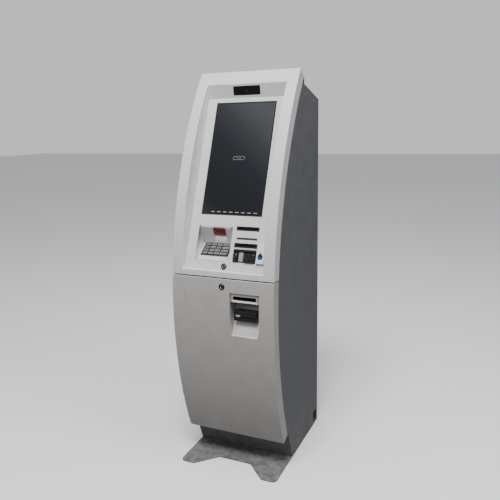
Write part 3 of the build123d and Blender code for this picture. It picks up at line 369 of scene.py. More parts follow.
def sheet(draft: Draft, surface, across: tuple[float, float], along: tuple[float, float],
          windows: list[Window], spacing: tuple[float, float],
          levels: tuple = ((), ())) -> tuple[Array, Array]:
    """Draws a sheet with windows on any surface of two parameters.

    The sheet is a grid whose lines pass through every window's sides. Cells inside a window are left out, and
    a round corner gets back the part of its cell outside the arc, as a fan from the cell's outer corner.

    Args:
        draft: the draft to draw in.
        surface: function of arrays (u, v) that gives points.
        across: lowest and highest u.
        along: lowest and highest v.
        windows: holes, in (u, v).
        spacing: grid spacing in u and v.
        levels: further u and v levels, so that sheets that meet share their points.

    Returns:
        The grid's u and v levels.
    """
    u_needed = list(levels[0])
    v_needed = list(levels[1])
    for window in windows:
        x0, y0, x1, y1 = window.box
        r = window.radius
        u_needed += [x0, x0 + r, x1 - r, x1]
        v_needed += [y0, y0 + r, y1 - r, y1]
    u, v = cuts(*across, spacing[0], u_needed), cuts(*along, spacing[1], v_needed)
    for window in windows:
        x0, y0, x1, y1 = window.box
        r = window.radius - 1e-6
        inner = ((u > x0 + 1e-6) & (u < x0 + r)) | ((u > x1 - r) & (u < x1 - 1e-6))
        u = u[~inner]
        inner = ((v > y0 + 1e-6) & (v < y0 + r)) | ((v > y1 - r) & (v < y1 - 1e-6))
        v = v[~inner]
    middle_u, middle_v = (u[:-1] + u[1:]) / 2, (v[:-1] + v[1:]) / 2
    keep = np.ones((len(u) - 1, len(v) - 1), bool)
    for window in windows:
        x0, y0, x1, y1 = window.box
        keep &= ~np.outer((middle_u > x0) & (middle_u < x1), (middle_v > y0) & (middle_v < y1))
    grid_u, grid_v = np.meshgrid(u, v, indexing="ij")
    draft.grid(surface(grid_u, grid_v), keep)
    turn = np.linspace(0, pi / 2, 9)
    for window in (w for w in windows if w.radius > 0):
        x0, y0, x1, y1 = window.box
        r = window.radius
        for corner_u, side_u in ((x0, 1), (x1, -1)):
            for corner_v, side_v in ((y0, 1), (y1, -1)):
                arc_u = corner_u + side_u * r * (1 - np.cos(turn))
                arc_v = corner_v + side_v * r * (1 - np.sin(turn))
                tip_u, tip_v = np.full(8, corner_u), np.full(8, corner_v)
                fans_u = np.stack([tip_u, arc_u[:-1], arc_u[1:]], axis=1)
                fans_v = np.stack([tip_v, arc_v[:-1], arc_v[1:]], axis=1)
                draft.store(surface(fans_u, fans_v), np.arange(24).reshape(8, 3))
    return u, v


def soften(piece: bpy.types.Object, *, bend: float = 0.0, gauge: float = 0.0, rim: float = 0.0,
           subdivide: int = 0) -> bpy.types.Object:
    """Gives a piece its bends, sheet thickness, rounded rims and flat-looking faces.

    Args:
        piece: the object to finish.
        bend: radius pressed into the folds of a skin, before it has a thickness.
        gauge: sheet thickness, laid to the hidden side.
        rim: radius of the edges of the finished solid.
        subdivide: levels of subdivision, for a moulding without flat faces.

    Returns:
        The same object.
    """
    def bevel(name: str, width: float, segments: int) -> None:
        """Adds a bevel that touches only sharp edges."""
        made = piece.modifiers.new(name, "BEVEL")
        made.width, made.segments, made.limit_method = width, segments, "ANGLE"
        made.angle_limit = radians(33)
        made.miter_outer = "MITER_ARC"

    if bend:
        bevel("bend", bend, 4)
    if gauge:
        made = piece.modifiers.new("gauge", "SOLIDIFY")
        made.thickness, made.offset, made.use_even_offset = gauge, -1.0, True
    if rim:
        bevel("rim", rim, 2)
    if subdivide:
        made = piece.modifiers.new("round", "SUBSURF")
        made.levels = made.render_levels = subdivide
    else:
        made = piece.modifiers.new("flats", "WEIGHTED_NORMAL")
        made.keep_sharp, made.weight = True, 60
    return piece


def turn_inward(piece: bpy.types.Object, inside: Vector, weld: float = 0.0) -> None:
    """Turns every face of a pocket to look at a point inside it, so that its gauge is laid behind.

    Args:
        piece: the pocket.
        inside: a point in its hollow.
        weld: distance under which points are joined first, or 0 for none.
    """
    shape = bmesh.new()
    shape.from_mesh(piece.data)
    if weld:
        bmesh.ops.remove_doubles(shape, verts=shape.verts, dist=weld)
    for face in shape.faces:
        if face.normal.dot(inside - face.calc_center_median()) < 0:
            face.normal_flip()
    shape.to_mesh(piece.data)
    shape.free()


# ---------------------------------------------------------------- finishes
class Bench:
    """Lays out a node tree: adds nodes with their settings and joins sockets."""

    def __init__(self, tree: bpy.types.NodeTree) -> None:
        """Works on one tree."""
        self.tree = tree

    def add(self, kind: str, inputs: dict | None = None, **settings) -> bpy.types.Node:
        """Adds a node.

        Args:
            kind: the node's type, without its ShaderNode prefix where it has one.
            inputs: values or sockets by input name or index.
            settings: the node's own properties.

        Returns:
            The node.
        """
        name = kind if kind.startswith("NodeGroup") else "ShaderNode" + kind
        node = self.tree.nodes.new(name)
        for key, value in settings.items():
            setattr(node, key, value)
        for key, value in (inputs or {}).items():
            if isinstance(value, bpy.types.NodeSocket):
                self.tree.links.new(value, node.inputs[key])
            else:
                node.inputs[key].default_value = value
        return node

    def math(self, operation: str, *values) -> bpy.types.NodeSocket:
        """Result of a Math node on numbers or sockets."""
        node = self.add("Math", dict(enumerate(values)), operation=operation)
        return node.outputs[0]

    def mix(self, factor, first, second) -> bpy.types.NodeSocket:
        """Colour between first and second by a factor."""
        node = self.add("Mix", {0: factor, 6: first, 7: second}, data_type="RGBA")
        return node.outputs[2]

    def span(self, value, low: float, high: float, to_low: float = 0.0, to_high: float = 1.0):
        """Carries a value smoothly from one range to another."""
        node = self.add("MapRange", {0: value, 1: low, 2: high, 3: to_low, 4: to_high})
        node.interpolation_type = "SMOOTHSTEP"
        return node.outputs[0]


def group(name: str, inputs: dict[str, float], outputs: list[str]) -> tuple[bpy.types.NodeTree, Bench, dict]:
    """Starts a shader node group with named float sockets.

    Args:
        name: the group's name.
        inputs: input names and their usual values.
        outputs: output names.

    Returns:
        The tree, its bench, and its input sockets by name.
    """
    tree = bpy.data.node_groups.new(name, "ShaderNodeTree")
    for label, value in inputs.items():
        tree.interface.new_socket(label, in_out="INPUT", socket_type="NodeSocketFloat").default_value = value
    for label in outputs:
        tree.interface.new_socket(label, in_out="OUTPUT", socket_type="NodeSocketFloat")
    bench = Bench(tree)
    source = tree.nodes.new("NodeGroupInput")
    return tree, bench, {label: source.outputs[label] for label in inputs}


def close_group(tree: bpy.types.NodeTree, results: dict[str, bpy.types.NodeSocket]) -> bpy.types.NodeTree:
    """Joins a group's results to its named outputs."""
    sink = tree.nodes.new("NodeGroupOutput")
    for label, socket in results.items():
        tree.links.new(socket, sink.inputs[label])
    return tree


def peel_group() -> bpy.types.NodeTree:
    """Orange peel and mottling of baked paint: fine noise for its height, broad noise for its shade."""
    tree, bench, given = group("coat_peel", {"Peel": 700.0, "Mottle": 14.0}, ["Height", "Shade"])
    place = bench.add("TexCoord").outputs["Object"]
    fine = bench.add("TexNoise", {"Vector": place, "Scale": given["Peel"], "Detail": 3.0, "Roughness": 0.55})
    broad = bench.add("TexNoise",
                      {"Vector": place, "Scale": given["Mottle"], "Detail": 5.0, "Roughness": 0.6})
    return close_group(tree, {"Height": fine.outputs["Fac"], "Shade": broad.outputs["Fac"]})


def dust_group() -> bpy.types.NodeTree:
    """Settled dust: more towards the floor and on faces that look up, broken up by noise."""
    tree, bench, given = group("settled_dust", {"Floor Reach": 0.35, "Ledges": 0.6}, ["Mask"])
    place = bench.add("TexCoord").outputs["Object"]
    height = bench.add("SeparateXYZ", {0: place}).outputs[2]
    upward = bench.add("SeparateXYZ", {0: bench.add("NewGeometry").outputs["Normal"]}).outputs[2]
    low = bench.math("SUBTRACT", 1.0, bench.math("DIVIDE", height, given["Floor Reach"]))
    low = bench.math("MAXIMUM", low, 0.0)
    ledge = bench.math("MULTIPLY", bench.span(upward, 0.55, 1.0), given["Ledges"])
    cloud = bench.add("TexNoise", {"Vector": place, "Scale": 38.0, "Detail": 7.0, "Roughness": 0.7})
    broken = bench.span(cloud.outputs["Fac"], 0.32, 0.68)
    total = bench.math("MULTIPLY", bench.math("MAXIMUM", low, ledge), broken)
    return close_group(tree, {"Mask": total})


def smear_group() -> bpy.types.NodeTree:
    """Finger smears on gloss: stretched cloudy patches, used for roughness."""
    tree, bench, given = group("finger_smears", {"Size": 30.0}, ["Mask"])
    place = bench.add("TexCoord").outputs["Object"]
    turned = bench.add("Mapping", {"Vector": place, "Rotation": (0.4, 0.3, 0.7), "Scale": (1.0, 1.0, 2.6)})
    warp = bench.add("TexNoise", {"Vector": turned.outputs[0], "Scale": given["Size"], "Detail": 6.0,
                                  "Roughness": 0.62, "Distortion": 1.4})
    return close_group(tree, {"Mask": bench.span(warp.outputs["Fac"], 0.45, 0.7)})


def brush_group() -> bpy.types.NodeTree:
    """Brushed metal: noise drawn out along the cabinet's x, for its height and its shade."""
    tree, bench, given = group("brushed_lines", {"Fine": 4200.0}, ["Height", "Shade"])
    place = bench.add("TexCoord").outputs["Object"]
    drawn = bench.add("Mapping", {"Vector": place, "Scale": (0.03, 1.0, 1.0)}).outputs[0]
    lines = bench.add("TexNoise", {"Vector": drawn, "Scale": given["Fine"], "Detail": 2.0, "Roughness": 0.6})
    broad = bench.add("TexNoise", {"Vector": drawn, "Scale": 420.0, "Detail": 4.0, "Roughness": 0.6})
    return close_group(tree, {"Height": lines.outputs["Fac"], "Shade": broad.outputs["Fac"]})


GROUPS: dict[str, bpy.types.NodeTree] = {}


def start_material(name: str) -> tuple[bpy.types.Material, Bench, bpy.types.Node]:
    """A new node material with its Principled shader."""
    material = bpy.data.materials.new(name)
    material.use_nodes = True
    bench = Bench(material.node_tree)
    return material, bench, material.node_tree.nodes["Principled BSDF"]


def use_group(bench: Bench, name: str, **values: float) -> bpy.types.Node:
    """Places a shared effect in a material with its own values."""
    node = bench.tree.nodes.new("ShaderNodeGroup")
    node.node_tree = GROUPS[name]
    for label, value in values.items():
        node.inputs[label.replace("_", " ")].default_value = value
    return node


def tint(colour: Colour, share: float) -> tuple[float, float, float, float]:
    """A colour made lighter or darker by a share, with full alpha."""
    return (*(min(c * share, 1.0) for c in colour), 1.0)


@dataclass(frozen=True)
class PowderCoat:
    """Baked powder paint: fine peel, faint mottling, dust low down and on ledges."""

    name: str
    colour: Colour
    roughness: float = 0.42
    metallic: float = 0.0
    coat: float = 0.15
    mottle: float = 0.05
    peel: float = 700.0
    depth: float = 0.00004
    dust: Colour = (0.42, 0.40, 0.37)
    floor_reach: float = 0.30
    ledges: float = 0.12

    def material(self) -> bpy.types.Material:
        """Builds the paint."""
        made, bench, shader = start_material(self.name)
        skin = use_group(bench, "peel", Peel=self.peel)
        dust = use_group(bench, "dust", Floor_Reach=self.floor_reach, Ledges=self.ledges)
        shade = bench.span(skin.outputs["Shade"], 0.3, 0.7)
        paint = bench.mix(shade, tint(self.colour, 1 - self.mottle), tint(self.colour, 1 + self.mottle))
        veil = bench.math("MULTIPLY", dust.outputs["Mask"], 0.45)
        bench.tree.links.new(bench.mix(veil, paint, (*self.dust, 1.0)), shader.inputs["Base Color"])
        rough = bench.span(skin.outputs["Shade"], 0.25, 0.75, self.roughness - 0.05, self.roughness + 0.07)
        rough = bench.math("ADD", rough, bench.math("MULTIPLY", dust.outputs["Mask"], 0.22))
        bench.tree.links.new(rough, shader.inputs["Roughness"])
        bump = bench.add("Bump", {"Height": skin.outputs["Height"], "Distance": self.depth, "Strength": 0.6})
        bench.tree.links.new(bump.outputs[0], shader.inputs["Normal"])
        shader.inputs["Metallic"].default_value = self.metallic
        shader.inputs["Coat Weight"].default_value = self.coat
        shader.inputs["Coat Roughness"].default_value = 0.25
        return made


@dataclass(frozen=True)
class BrushedMetal:
    """Brushed or plated metal with drawn-out lines and a little grime."""

    name: str
    colour: Colour
    roughness: float = 0.3
    lines: float = 4200.0
    depth: float = 0.00003
    contrast: float = 0.10

    def material(self) -> bpy.types.Material:
        """Builds the metal."""
        made, bench, shader = start_material(self.name)
        brush = use_group(bench, "brush", Fine=self.lines)
        smear = use_group(bench, "smear", Size=45.0)
        shade = bench.mix(brush.outputs["Shade"], tint(self.colour, 1 - self.contrast),
                          tint(self.colour, 1 + self.contrast))
        bench.tree.links.new(shade, shader.inputs["Base Color"])
        rough = bench.math("MULTIPLY_ADD", smear.outputs["Mask"], 0.14, self.roughness)
        bench.tree.links.new(rough, shader.inputs["Roughness"])
        bump = bench.add("Bump", {"Height": brush.outputs["Height"], "Distance": self.depth, "Strength": 0.5})
        bench.tree.links.new(bump.outputs[0], shader.inputs["Normal"])
        shader.inputs["Metallic"].default_value = 1.0
        return made


@dataclass(frozen=True)
class Moulding:
    """Moulded plastic: spark-eroded grain, smears where it is glossy."""

    name: str
    colour: Colour
    roughness: float = 0.45
    grain: float = 1800.0
    depth: float = 0.00003
    coat: float = 0.0
    smears: float = 0.05
    glow: float = 0.0

    def material(self) -> bpy.types.Material:
        """Builds the plastic."""
        made, bench, shader = start_material(self.name)
        skin = use_group(bench, "peel", Peel=self.grain, Mottle=60.0)
        smear = use_group(bench, "smear", Size=60.0)
        shade = bench.mix(skin.outputs["Shade"], tint(self.colour, 0.85), tint(self.colour, 1.15))
        worn = bench.math("MULTIPLY", smear.outputs["Mask"], 0.008)
        bench.tree.links.new(bench.mix(worn, shade, (0.5, 0.49, 0.47, 1.0)), shader.inputs["Base Color"])
        rough = bench.math("MULTIPLY_ADD", smear.outputs["Mask"], self.smears, self.roughness)
        bench.tree.links.new(rough, shader.inputs["Roughness"])
        bump = bench.add("Bump", {"Height": skin.outputs["Height"], "Distance": self.depth, "Strength": 0.5})
        bench.tree.links.new(bump.outputs[0], shader.inputs["Normal"])
        shader.inputs["Coat Weight"].default_value = self.coat
        shader.inputs["Coat Roughness"].default_value = 0.06
        if self.glow:
            shader.inputs["Emission Color"].default_value = (*self.colour, 1.0)
            shader.inputs["Emission Strength"].default_value = self.glow
        return made


@dataclass(frozen=True)
class ScreenGlass:
    """Display under glass: a printed black border with a fine inner line and a dim wallpaper that is lit."""

    name: str
    axes: Axes
    half_width: float
    half_height: float
    border: float = 0.0055

    def material(self) -> bpy.types.Material:
        """Builds the glass."""
        made, bench, shader = start_material(self.name)
        tree = bench.tree
        place = bench.add("TexCoord").outputs["Object"]
        lean = atan2(self.axes.y[1], self.axes.y[2])
        shifted = bench.add("VectorMath", {0: place, 1: self.axes.origin}, operation="SUBTRACT").outputs[0]
        local = bench.add("Mapping", {"Vector": shifted, "Rotation": (lean, 0.0, 0.0)}, vector_type="POINT")
        parts = bench.add("SeparateXYZ", {0: local.outputs[0]})
        across, up = parts.outputs[0], parts.outputs[2]
        edge_x = bench.math("SUBTRACT", self.half_width, bench.math("ABSOLUTE", across))
        edge_y = bench.math("SUBTRACT", self.half_height, bench.math("ABSOLUTE", up))
        edge = bench.math("MINIMUM", edge_x, edge_y)
        lit = bench.span(edge, self.border - 0.0003, self.border + 0.0003)
        line = bench.math("MULTIPLY", bench.span(edge, 0.0016, 0.0024), bench.span(edge, 0.0040, 0.0032))
        climb = bench.math("MULTIPLY_ADD", across, 0.9, up)
        ramp = bench.add("ValToRGB", {0: bench.span(climb, -0.26, 0.32)})
        ramp.color_ramp.elements[0].color = (0.0050, 0.0068, 0.0095, 1.0)
        ramp.color_ramp.elements[1].color = (0.100, 0.105, 0.112, 1.0)
        middle = ramp.color_ramp.elements.new(0.45)
        middle.color = (0.0125, 0.0155, 0.0195, 1.0)
        high = ramp.color_ramp.elements.new(0.75)
        high.color = (0.040, 0.044, 0.050, 1.0)
        haze = bench.add("TexNoise", {"Vector": place, "Scale": 6.0, "Detail": 3.0})
        picture = bench.mix(bench.math("MULTIPLY", haze.outputs["Fac"], 0.22), ramp.outputs[0],
                            (0.02, 0.024, 0.03, 1.0))
        shown = bench.mix(lit, (0.0, 0.0, 0.0, 1.0), picture)
        tree.links.new(shown, shader.inputs["Emission Color"])
        shader.inputs["Emission Strength"].default_value = 0.85
        base = bench.mix(line, (0.004, 0.004, 0.005, 1.0), (0.055, 0.058, 0.062, 1.0))
        tree.links.new(base, shader.inputs["Base Color"])
        smear = use_group(bench, "smear", Size=9.0)
        tree.links.new(bench.math("MULTIPLY_ADD", smear.outputs["Mask"], 0.03, 0.10),
                       shader.inputs["Roughness"])
        shader.inputs["Specular IOR Level"].default_value = 0.4
        return made


@dataclass(frozen=True)
class Paper:
    """Thermal paper: fibres and the edges of its turns."""

    name: str = "thermal_paper"

    def material(self) -> bpy.types.Material:
        """Builds the paper."""
        made, bench, shader = start_material(self.name)
        skin = use_group(bench, "peel", Peel=2400.0, Mottle=300.0)
        shade = bench.mix(skin.outputs["Shade"], (0.80, 0.79, 0.74, 1.0), (0.93, 0.92, 0.89, 1.0))
        bench.tree.links.new(shade, shader.inputs["Base Color"])
        rough = bench.span(skin.outputs["Shade"], 0.2, 0.8, 0.6, 0.8)
        bench.tree.links.new(rough, shader.inputs["Roughness"])
        bump = bench.add("Bump", {"Height": skin.outputs["Height"], "Distance": 0.00005, "Strength": 0.7})
        bench.tree.links.new(bump.outputs[0], shader.inputs["Normal"])
        return made


class Look(Enum):
    """The finishes of this kiosk, by what they are put on."""

    HOOD = "hood_paint"
    DOOR = "door_paint"
    CABINET = "cabinet_paint"
    BASE = "base_paint"
    ZINC = "zinc_steel"
    SCREW = "screw_steel"
    LOCK = "lock_chrome"
    SCREEN = "display_glass"
    MODULE = "module_black"
    GLOSS = "gloss_black"
    FAN = "fan_plastic"
    SCANNER = "scanner_red"
    READER = "reader_white"
    PLATE = "keypad_black"
    KEY = "key_steel"
    PAPER = "paper"
    CASE = "aluminium_case"
    TUBE = "strut_black"
    ROD = "strut_chrome"


@dataclass
class Finishes:
    """All the materials, made once and handed to the sub-assemblies."""

    screen: Axes
    half_width: float
    half_height: float
    made: dict[str, bpy.types.Material] = field(default_factory=dict)

    def __post_init__(self) -> None:
        """Builds the shared groups and then every material."""
        GROUPS.update(peel=peel_group(), dust=dust_group(), smear=smear_group(), brush=brush_group())
        recipes = {
            Look.HOOD: PowderCoat("hood_coat", (0.68, 0.68, 0.67), roughness=0.42, coat=0.2, mottle=0.02),
            Look.DOOR: PowderCoat("door_coat", (0.62, 0.60, 0.57), roughness=0.42, metallic=0.35,
                                  mottle=0.03),
            Look.CABINET: PowderCoat("cabinet_coat", (0.175, 0.178, 0.19), roughness=0.40, metallic=0.25,
                                     mottle=0.05, peel=520.0, depth=0.00006),
            Look.BASE: PowderCoat("base_coat", (0.105, 0.105, 0.115), roughness=0.48, mottle=0.08, peel=480.0,
                                  depth=0.00007, ledges=0.08, floor_reach=0.02),
            Look.ZINC: BrushedMetal("zinc_plate", (0.56, 0.57, 0.58), roughness=0.38),
            Look.SCREW: BrushedMetal("screw_zinc", (0.42, 0.42, 0.44), roughness=0.32),
            Look.LOCK: BrushedMetal("lock_nickel", (0.10, 0.10, 0.105), roughness=0.20, contrast=0.2),
            Look.SCREEN: ScreenGlass("screen_glass", self.screen, self.half_width, self.half_height),
            Look.MODULE: Moulding("module_plastic", (0.030, 0.031, 0.034), roughness=0.5),
            Look.GLOSS: Moulding("gloss_plastic", (0.008, 0.008, 0.009), roughness=0.12, coat=0.5,
                                 grain=900.0,
                                 depth=0.00001),
            Look.FAN: Moulding("fan_plastic", (0.045, 0.045, 0.05), roughness=0.42),
            Look.SCANNER: Moulding("scanner_lens", (0.16, 0.003, 0.005), roughness=0.14, coat=0.4, glow=0.25,
                                   depth=0.00001),
            Look.READER: Moulding("reader_shell", (0.72, 0.76, 0.86), roughness=0.22, coat=0.4, smears=0.1),
            Look.PLATE: Moulding("keypad_bed", (0.020, 0.020, 0.021), roughness=0.35, coat=0.1),
            Look.KEY: BrushedMetal("key_steel", (0.46, 0.44, 0.44), roughness=0.30),
            Look.PAPER: Paper(),
            Look.CASE: BrushedMetal("case_aluminium", (0.42, 0.43, 0.45), roughness=0.42),
            Look.TUBE: Moulding("tube_paint", (0.015, 0.015, 0.016), roughness=0.2, coat=0.4),
            Look.ROD: BrushedMetal("rod_chrome", (0.74, 0.75, 0.76), roughness=0.10, contrast=0.03),
        }
        for look, recipe in recipes.items():
            self.made[look.value] = recipe.material()

    def __getitem__(self, look: Look) -> bpy.types.Material:
        """The material of a finish."""
        return self.made[look.value]


def fit(piece: bpy.types.Object, body: str, material: bpy.types.Material, look: Look | None,
        *nodes: str) -> bpy.types.Object:
    """Puts a piece on its body, dresses it and says what it stands for.

    Args:
        piece: the finished object.
        body: the CAD body that carries it.
        material: what it is dressed in.
        look: the record's slot, or None for a small mark; not used.
        nodes: the CAD nodes it stands for.

    Returns:
        The piece.
    """
    if not piece.data.materials:
        piece.data.materials.append(material)
    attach(piece, body)
    if nodes:
        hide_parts(*nodes)
    log.info("%-26s on %-14s for %s", piece.name, body, ", ".join(nodes) or "itself")
    return piece


def redress(finishes: Finishes) -> None:
    """Gives every CAD node the finish that the record names for it."""
    for part in frame["record"]["subparts"]:
        node = frame["nodes"][part["node"]]
        node.data.materials.clear()
        node.data.materials.append(finishes.made[part["material_slot"]])


# ---------------------------------------------------------------- the hood
@dataclass
class Hood:
    """Bowed hood: a pressed frame round a recess, its brow with the camera window, and its hinge ears."""

    bow: Bow
    fascia: Axes
    half: float
    finishes: Finishes
    low: float = 0.853
    high: float = 1.664
    flange: float = 0.050
    recess: float = 0.179
    sill: float = 0.877
    brow: float = 1.611
    fascia_low: float = -0.466
    fascia_high: float = 0.262
    gauge: float = 0.002
    camera: tuple[float, float, float, float] = (-0.0605, 0.0095, 0.0615, 0.0470)

    def brow_axes(self) -> Axes:
        """Axes on the brow: from its foot on the fascia up to the bow, z towards the customer."""
        foot = self.fascia.place(np.array([0.0, self.fascia_high, 0.0]))
        rise = (self.bow.y(self.brow) - foot[1], self.brow - foot[2])
        return leaning(tuple(foot), rise)

    def skin(self) -> None:
        """Draws the pressed frame: front, flanges, recess walls, brow and sill as one folded sheet."""
        bow, draft = self.bow, Draft()
        opening = Window((-self.recess, self.sill, self.recess, self.brow))
        pane = Window(self.camera, 0.002)
        pane_levels = [self.camera[0], self.camera[0] + 0.002, self.camera[2] - 0.002, self.camera[2]]
        u, v = sheet(draft, bow.point, (-self.half, self.half), (self.low, self.high), [opening],
                     (0.046, 0.012),
                     (pane_levels, ()))
        depth = np.array([0.0, 0.025, self.flange])
        for side in (-self.half, self.half):
            draft.grid(bow.point(side, v[:, None], depth[None, :]))
        for level in (self.low, self.high):
            draft.grid(bow.point(u[:, None], level, depth[None, :]))
        edge_u = u[(u > -self.recess - 1e-6) & (u < self.recess + 1e-6)]
        brow = self.brow_axes()
        length = hypot(self.bow.y(self.brow) - brow.origin[1], self.brow - brow.origin[2])

        def on_brow(x: Array, y: Array) -> Array:
            """Point of the brow's face."""
            return brow.place(np.stack([x, y, np.zeros_like(x)], axis=-1))

        _, climb = sheet(draft, on_brow, (-self.recess, self.recess), (0.0, length), [pane], (1.0, 1.0),
                         (edge_u, ()))
        share = (1 - climb[::-1] / length)[None, :, None]
        edge_v = v[(v > self.sill - 1e-6) & (v < self.brow + 1e-6)]
        up = np.interp(edge_v, [self.sill, self.brow], [self.fascia_low, self.fascia_high])
        for side in (-self.recess, self.recess):
            near = bow.point(side, edge_v)
            far = self.fascia.place(np.stack([np.full_like(up, side), up, np.zeros_like(up)], axis=-1))
            draft.grid(near[:, None] * (1 - share) + far[:, None] * share)
        near = bow.point(edge_u, self.sill)
        far = self.fascia.place(np.stack([edge_u, np.full_like(edge_u, self.fascia_low), edge_u * 0],
                                         axis=-1))
        draft.grid(near[:, None] * (1 - share) + far[:, None] * share)
        piece = draft.finish("hood_skin", facing=(0, -1, 0))
        soften(piece, bend=0.0022, gauge=self.gauge, rim=0.0005)
        fit(piece, "hood", self.finishes[Look.HOOD], Look.HOOD, "hood_frame")

    def ears(self) -> None:
        """Hinge ears under the top flange, and the stud that the gas strut turns on."""
        draft = Draft()
        hinge = np.array(frame_joint("hood_hinge")["pos_m"])
        turn = np.linspace(-pi, 0, 17)
        rise = np.arcsin((self.high - self.bow.level) / self.bow.radius)
        side_axes = Axes(tuple(hinge), (0.0, cos(rise), -sin(rise)), (0.0, sin(rise), cos(rise)))
        outline = np.concatenate([
            0.0075 * np.stack([np.cos(turn), np.sin(turn)], axis=-1),
            np.array([(0.0065, 0.0100), (-0.0075, 0.0100)]),
        ])
        for sign in (-1, 1):
            x_low, x_high = sorted((sign * 0.205, sign * 0.209))
            draft.loft(side_axes.place(prism(outline, -x_high, -x_low)))
            collar = [(0.0041, -x_high - 0.0012), (0.0066, -x_high - 0.0012), (0.0066, -x_high),
                      (0.0041, -x_high)]
            draft.tube(side_axes.place(lathe(collar, 28)))
        stud = np.array(frame_joint("strut_rod_turn")["pos_m"])
        start, end = stud.copy(), stud.copy()
        start[0], end[0] = -self.recess - 0.002, stud[0] - 0.006
        draft.loft(bar(start, end, [(0.004, 0.0), (0.004, 0.94), (0.0034, 1.0)]))
        piece = soften(draft.finish("hood_ears"), rim=0.0003)
        fit(piece, "hood", self.finishes[Look.ZINC], Look.HOOD)

    def camera_pane(self) -> None:
        """Dark pane in the brow with a thin proud rim and a lens behind it."""
        brow = self.brow_axes()
        x0, y0, x1, y1 = self.camera
        gap = 0.0003
        draft = Draft()
        draft.loft(brow.place(moulded((x0 + gap, y0 + gap, x1 - gap, y1 - gap), -0.006, 0.0006, 0.0017,
                                      0.0005)))
        draft.loft(brow.place(moulded((x0 - 0.006, y0 - 0.005, x1 + 0.006, y1 + 0.0015), -0.014, -0.00205,
                                      0.001,
                                      0.0005)))
        fit(draft.finish("camera_pane"), "hood", self.finishes[Look.GLOSS], Look.GLOSS, "camera_window")
        eye = Draft().tube(brow.moved(y=(y0 + y1) / 2, z=0.0006).place(
            lathe([(0.0048, 0.0), (0.0048, 0.0002), (0.0058, 0.0003), (0.0058, 0.0)], 40)))
        fit(eye.finish("camera_eye"), "hood", self.finishes[Look.MODULE], Look.MODULE)

    def build(self) -> None:
        """Makes the hood's own pieces."""
        self.skin()
        self.ears()
        self.camera_pane()


def frame_joint(name: str) -> dict:
    """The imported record's entry for a joint."""
    return next(joint for joint in frame["joints"] if joint["name"] == name)


